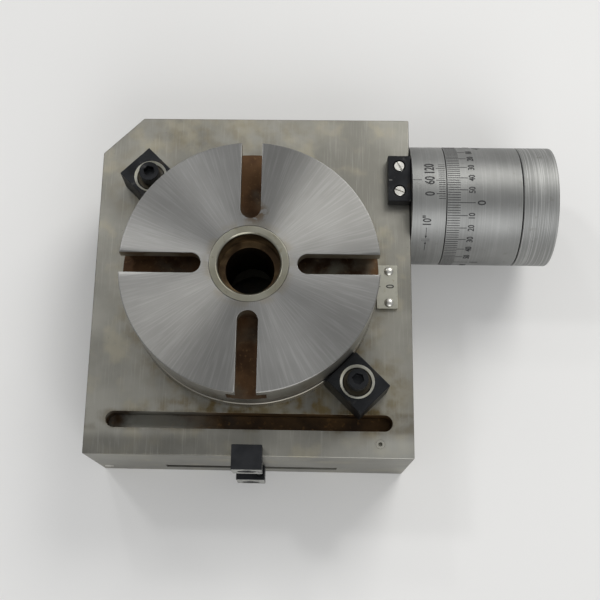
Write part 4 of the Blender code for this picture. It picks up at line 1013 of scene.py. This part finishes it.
fitted(bracket, "base_body", "black_oxide", ["index_bracket"], block_black)


def nickel_silver(name, tint):
    """Polished nickel silver: warm white metal with fine rubbing marks and a brown film."""
    material, place = new_finish(name, 1.0, 0.25)
    cloud = noise(place, 160.0, 5.0)
    rub = noise(place, 1.0, 3.0, (300, 1800, 300))
    colour = blend(fade(cloud, 0.35, 0.7), tint, tuple(part * 0.8 for part in tint))
    film = fade(noise(place, 330.0, 4.0), 0.6, 0.72)
    colour = blend(film * 0.45, colour, (0.25, 0.2, 0.12))
    return feed(material, colour, 0.2 + cloud * 0.16 + rub * 0.08, rub, 0.005 * MM)


nickel = nickel_silver("nickel_plate", (0.62, 0.61, 0.57))
for number, screw in enumerate(slotted, 1):
    fitted(screw, "base_body", "nickel_silver", [f"bracket_screw_{number}"], nickel)
white_line = eased(block("setting_line", (bracket_low.x + 0.5 * MM, 56.5 * MM,
                                          bracket_high.z - 0.05 * MM),
                         (bracket_low.x + 2.1 * MM, 56.7 * MM, bracket_high.z + 0.04 * MM)),
                   0.02 * MM, 1)
fitted(white_line, "base_body", None, [], white_fill)

# ---------------------------------------------------------------- zero plate
# A small polished plate at the table's rim, held by two round-headed drive rivets. Its tick is the
# zero that the degree scale on the flange is read against.
plate_low, plate_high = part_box("zero_plate")
plate = block("reading_plate", plate_low, plate_high)
edges_eased(plate, 0.5 * MM, 4, upright)
for number in (1, 2):
    low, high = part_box(f"plate_rivet_{number}")
    middle = (low + high) / 2
    cut(plate, drilled("rivet_room", RIVET_BORE, (middle.x, middle.y, LOW - MM), (0, 0, 1), 5 * MM))
    rise, reach = 1.1 * MM, high.x - middle.x
    dome = [(reach * math.cos(math.radians(a)), high.z - rise + rise * math.sin(math.radians(a)))
            for a in range(0, 86, 12)]
    rivet = turned(f"dome_rivet_{number}", [(1.2 * MM, low.z), (1.2 * MM, high.z - rise), *dome],
                   (middle.x, middle.y, 0), sides=48)
    fitted(rivet, "base_body", "bright_steel", [f"plate_rivet_{number}"], nickel)
eased(plate, 0.2 * MM)
fitted(plate, "base_body", "nickel_silver", ["zero_plate"],
       nickel_silver("cream_plate", (0.46, 0.45, 0.385)))
UP = Vector((0, 0, 1))
zero = [figure("0", 3.9 * MM, Vector((69.9 * MM, 0.2 * MM, plate_high.z)), LEFTWARDS, UP),
        block("tick", (plate_low.x + 0.1 * MM, -0.15 * MM, plate_high.z - 0.05 * MM),
              (plate_low.x + 1.9 * MM, 0.15 * MM, plate_high.z + 0.03 * MM))]
fitted(joined("plate_marks", zero), "base_body", None, [], black_fill)

# ---------------------------------------------------------------- degree scale
# 360 lines cut round the table's flange and filled black, longer each 5 and 10 degrees, with a
# figure each 10 degrees, read against the zero plate.
marks = []
for step, top, length in ((1, 69.0, 2.0), (5, 67.0, 0.9), (10, 66.1, 0.8)):
    bpy.ops.object.select_all(action="DESELECT")
    bpy.ops.mesh.primitive_cube_add(
        size=1, location=(TABLE_RADIUS, 0, (top - length / 2) * MM),
        scale=(0.08 * MM, 0.12 * MM, length * MM))
    marks.append(settled("degree_lines"))
    bpy.ops.object.mode_set(mode="EDIT")
    bpy.ops.mesh.select_all(action="SELECT")
    bpy.ops.mesh.spin(steps=360 // step - 1, dupli=True, angle=math.radians(360 - step),
                      center=(0, 0, 0), axis=(0, 0, 1))
    bpy.ops.object.mode_set(mode="OBJECT")
for degrees in range(0, 360, 10):
    outward = at_angle(degrees)
    marks.append(figure(str(degrees), 1.5 * MM, outward * TABLE_RADIUS + UP * (64.1 * MM), UP,
                        outward))
fitted(joined("degree_scale", marks), "table_body", None, [],
       enamel("faded_fill", (0.09, 0.085, 0.075)))

# ---------------------------------------------------------------- front stop
# Two black blocks clamped to the front face by socket head screws, joined by a stud. The upper one
# stands over the top edge as a stop; the lower one's key and nut slide in the front groove.
upper_low, upper_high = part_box("stop_upper")
lower_low, lower_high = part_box("stop_lower")
STOP_BACK = base_low.y - GAP
STOP_WIDTH = 20 * MM
STUD_RADIUS = 1.6 * MM
upper = eased(block("stop_block", upper_low, upper_high), 0.4 * MM)
lower = eased(block("stop_foot", lower_low, lower_high), 0.4 * MM)
KEY_HALF = 3.95 * MM  # half the height of the key that runs in the groove
cut(upper, block("hook_room", (-STOP_WIDTH / 2, STOP_BACK, upper_low.z - MM),
                 (STOP_WIDTH / 2, 0, BASE_TOP + GAP)))
cut(lower,
    block("key_under_room", (-STOP_WIDTH / 2, STOP_BACK, lower_low.z - MM),
          (STOP_WIDTH / 2, 0, GROOVE_LEVEL - KEY_HALF)),
    block("key_over_room", (-STOP_WIDTH / 2, STOP_BACK, GROOVE_LEVEL + KEY_HALF),
          (STOP_WIDTH / 2, 0, lower_high.z + MM)))
stud_low, stud_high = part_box("stop_stud")
stud_middle = (stud_low + stud_high) / 2
stud_spot = (stud_middle.x, stud_middle.y, 0)
stud = turned("stop_pin", [(STUD_RADIUS, stud_low.z), (STUD_RADIUS, stud_high.z)], stud_spot,
              sides=32)
for target in (upper, lower):
    cut(target, turned("pin_room", [(STUD_RADIUS + GAP, stud_low.z - GAP),
                                    (STUD_RADIUS + GAP, stud_high.z + GAP)], stud_spot, sides=32))
stop_front = upper_low.y
for name, target, level, length, bore in (
        ("stop_screw_upper", upper, 65.5 * MM, 6.5 * MM, 12 * MM),
        ("stop_screw_lower", lower, GROOVE_LEVEL, 12.8 * MM, 20 * MM)):
    cut(target, turned("screw_room", [
        (4.6 * MM, -MM), (4.6 * MM, 5.1 * MM), (2.8 * MM, 5.1 * MM), (2.8 * MM, bore)],
        (0, stop_front, level), (0, 1, 0), 64))
    screw = socket_screw(name.replace("stop", "stop_cap"), (0, stop_front + 4.8 * MM, level),
                         (0, -1, 0), 2.5 * MM, length, 4.2 * MM, 4.5 * MM, 4 * MM)
    fitted(screw, "stop_body", "black_oxide", [name], screw_black)


def stop_black():
    """Blackened blocks whose front faces have been rubbed bright by handling."""
    material, place = new_finish("stop_black", 0.9, 0.4)
    cloud = noise(place, 120.0, 5.0)
    marks = noise(place, 1.0, 3.0, (200, 200, 1500))
    dark = blend(fade(cloud, 0.35, 0.7), (0.035, 0.036, 0.039), (0.02, 0.021, 0.023))
    worn = blend(fade(marks, 0.4, 0.7), (0.3, 0.3, 0.28), (0.5, 0.5, 0.47))
    front = fade(split(place)[1], stop_front + 0.35 * MM, stop_front + 0.1 * MM)
    colour = blend(front * fade(cloud, 0.3, 0.45), dark, worn)
    return feed(material, colour, 0.3 + cloud * 0.2 + marks * 0.08, marks + cloud, 0.008 * MM)


rubbed_black = stop_black()
fitted(upper, "stop_body", "black_oxide", ["stop_upper"], rubbed_black)
fitted(lower, "stop_body", "black_oxide", ["stop_lower"], rubbed_black)
fitted(stud, "stop_body", "black_oxide", ["stop_stud"], screw_black)
nut_low, nut_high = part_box("stop_nut")
stop_nut = eased(block("groove_nut", nut_low, nut_high), 0.3 * MM)
cut(stop_nut, drilled("nut_bore_room", 2.8 * MM, (0, nut_low.y - MM, GROOVE_LEVEL), (0, 1, 0),
                      10 * MM))
fitted(stop_nut, "stop_body", "black_oxide", ["stop_nut"], screw_black)

# ---------------------------------------------------------------- oiler and plug
# A spring-ball oiler in the front face feeds the worm, and a small steel screw plug, ground flush
# with the top, closes the filling hole.
oiler = turned("spring_oiler", [
    (2.5 * MM, -6.4 * MM), (2.5 * MM, 0), (2.2 * MM, 0.2 * MM), (1.5 * MM, 0.2 * MM),
    (1.3 * MM, -0.3 * MM), (1.1 * MM, -0.1 * MM), (0.7 * MM, 0.25 * MM), (0.2 * MM, 0.38 * MM)],
    (oiler_middle.x, base_low.y, oiler_middle.z), (0, -1, 0), 48)
fitted(oiler, "base_body", "nickel_silver", ["ball_oiler"], nickel)
plug = turned("filler_plug", [(2.2 * MM, plug_low.z), (2.2 * MM, BASE_TOP - 0.02 * MM)],
              (plug_middle.x, plug_middle.y, 0), sides=48)
cut(plug, turned("plug_socket_room", [(1.1 * MM, 59 * MM), (1.1 * MM, 63 * MM)],
                 (plug_middle.x, plug_middle.y, 0), sides=6))
fitted(plug, "base_body", "ground_steel", ["oil_plug"], steel_top)

# ---------------------------------------------------------------- floor, light and camera
# A sheet of pale paper in soft light: a wide window at the back right, two small ones at the back
# left, a broad fill from the front and an even pale surround.


def paper():
    material, place = new_finish("pale_paper", 0.0, 0.9)
    cloud = noise(place, 5.0, 4.0)
    fibre = noise(place, 900.0, 3.0)
    colour = blend(cloud, (0.77, 0.765, 0.755), (0.81, 0.805, 0.795))
    return feed(material, colour, None, fibre + cloud * 0.5, 0.02 * MM)


bpy.ops.object.select_all(action="DESELECT")
bpy.ops.mesh.primitive_plane_add(size=8, location=(0, 0, -0.2 * MM))
floor = settled("paper_floor")
floor.data.materials.append(paper())
floor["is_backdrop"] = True

world = bpy.data.worlds.new("daylight")
world.use_nodes = True
bpy.context.scene.world = world
surround = world.node_tree.nodes["Background"]
surround.inputs["Color"].default_value = (0.98, 0.99, 1.0, 1.0)
surround.inputs["Strength"].default_value = 0.44


def window(name, towards, distance, size, power, tint=(1, 1, 1)):
    """A soft light that shines on the middle of the table's top from the given direction."""
    towards = Vector(towards).normalized()
    aim = Vector((0, 0, TABLE_TOP))
    bpy.ops.object.light_add(type="AREA", location=aim + towards * distance,
                             rotation=towards.to_track_quat("Z", "Y").to_euler())
    light = bpy.context.object
    light.name = name
    light.data.size = size
    light.data.energy = power
    light.data.color = tint


window("wide_window", (0.42, 0.62, 0.66), 1.5, 0.75, 9.5, (1.0, 0.99, 0.96))
window("left_window", (-0.45, 0.38, 0.81), 1.5, 0.16, 2.2)
window("back_window", (-0.28, 0.64, 0.72), 1.6, 0.12, 1.2)
window("front_fill", (0.25, -0.75, 0.6), 1.8, 1.2, 12.5, (0.99, 0.995, 1.0))

camera_data = bpy.data.cameras.new("camera")
camera_data.sensor_width = 36
camera_data.lens = 59.715
camera_data.shift_x = 0.05
camera = bpy.data.objects.new("camera", camera_data)
bpy.context.scene.collection.objects.link(camera)
camera.matrix_world = Matrix.LocRotScale(
    Vector((0.02431, -0.14813, 0.54686)),
    Matrix(((0.99946, 0.0215, -0.02476), (-0.01373, 0.96009, 0.27936),
            (0.02978, -0.27887, 0.95987))).transposed(), None)
bpy.context.scene.camera = camera
bpy.context.scene.view_settings.view_transform = "Standard"

low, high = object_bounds()
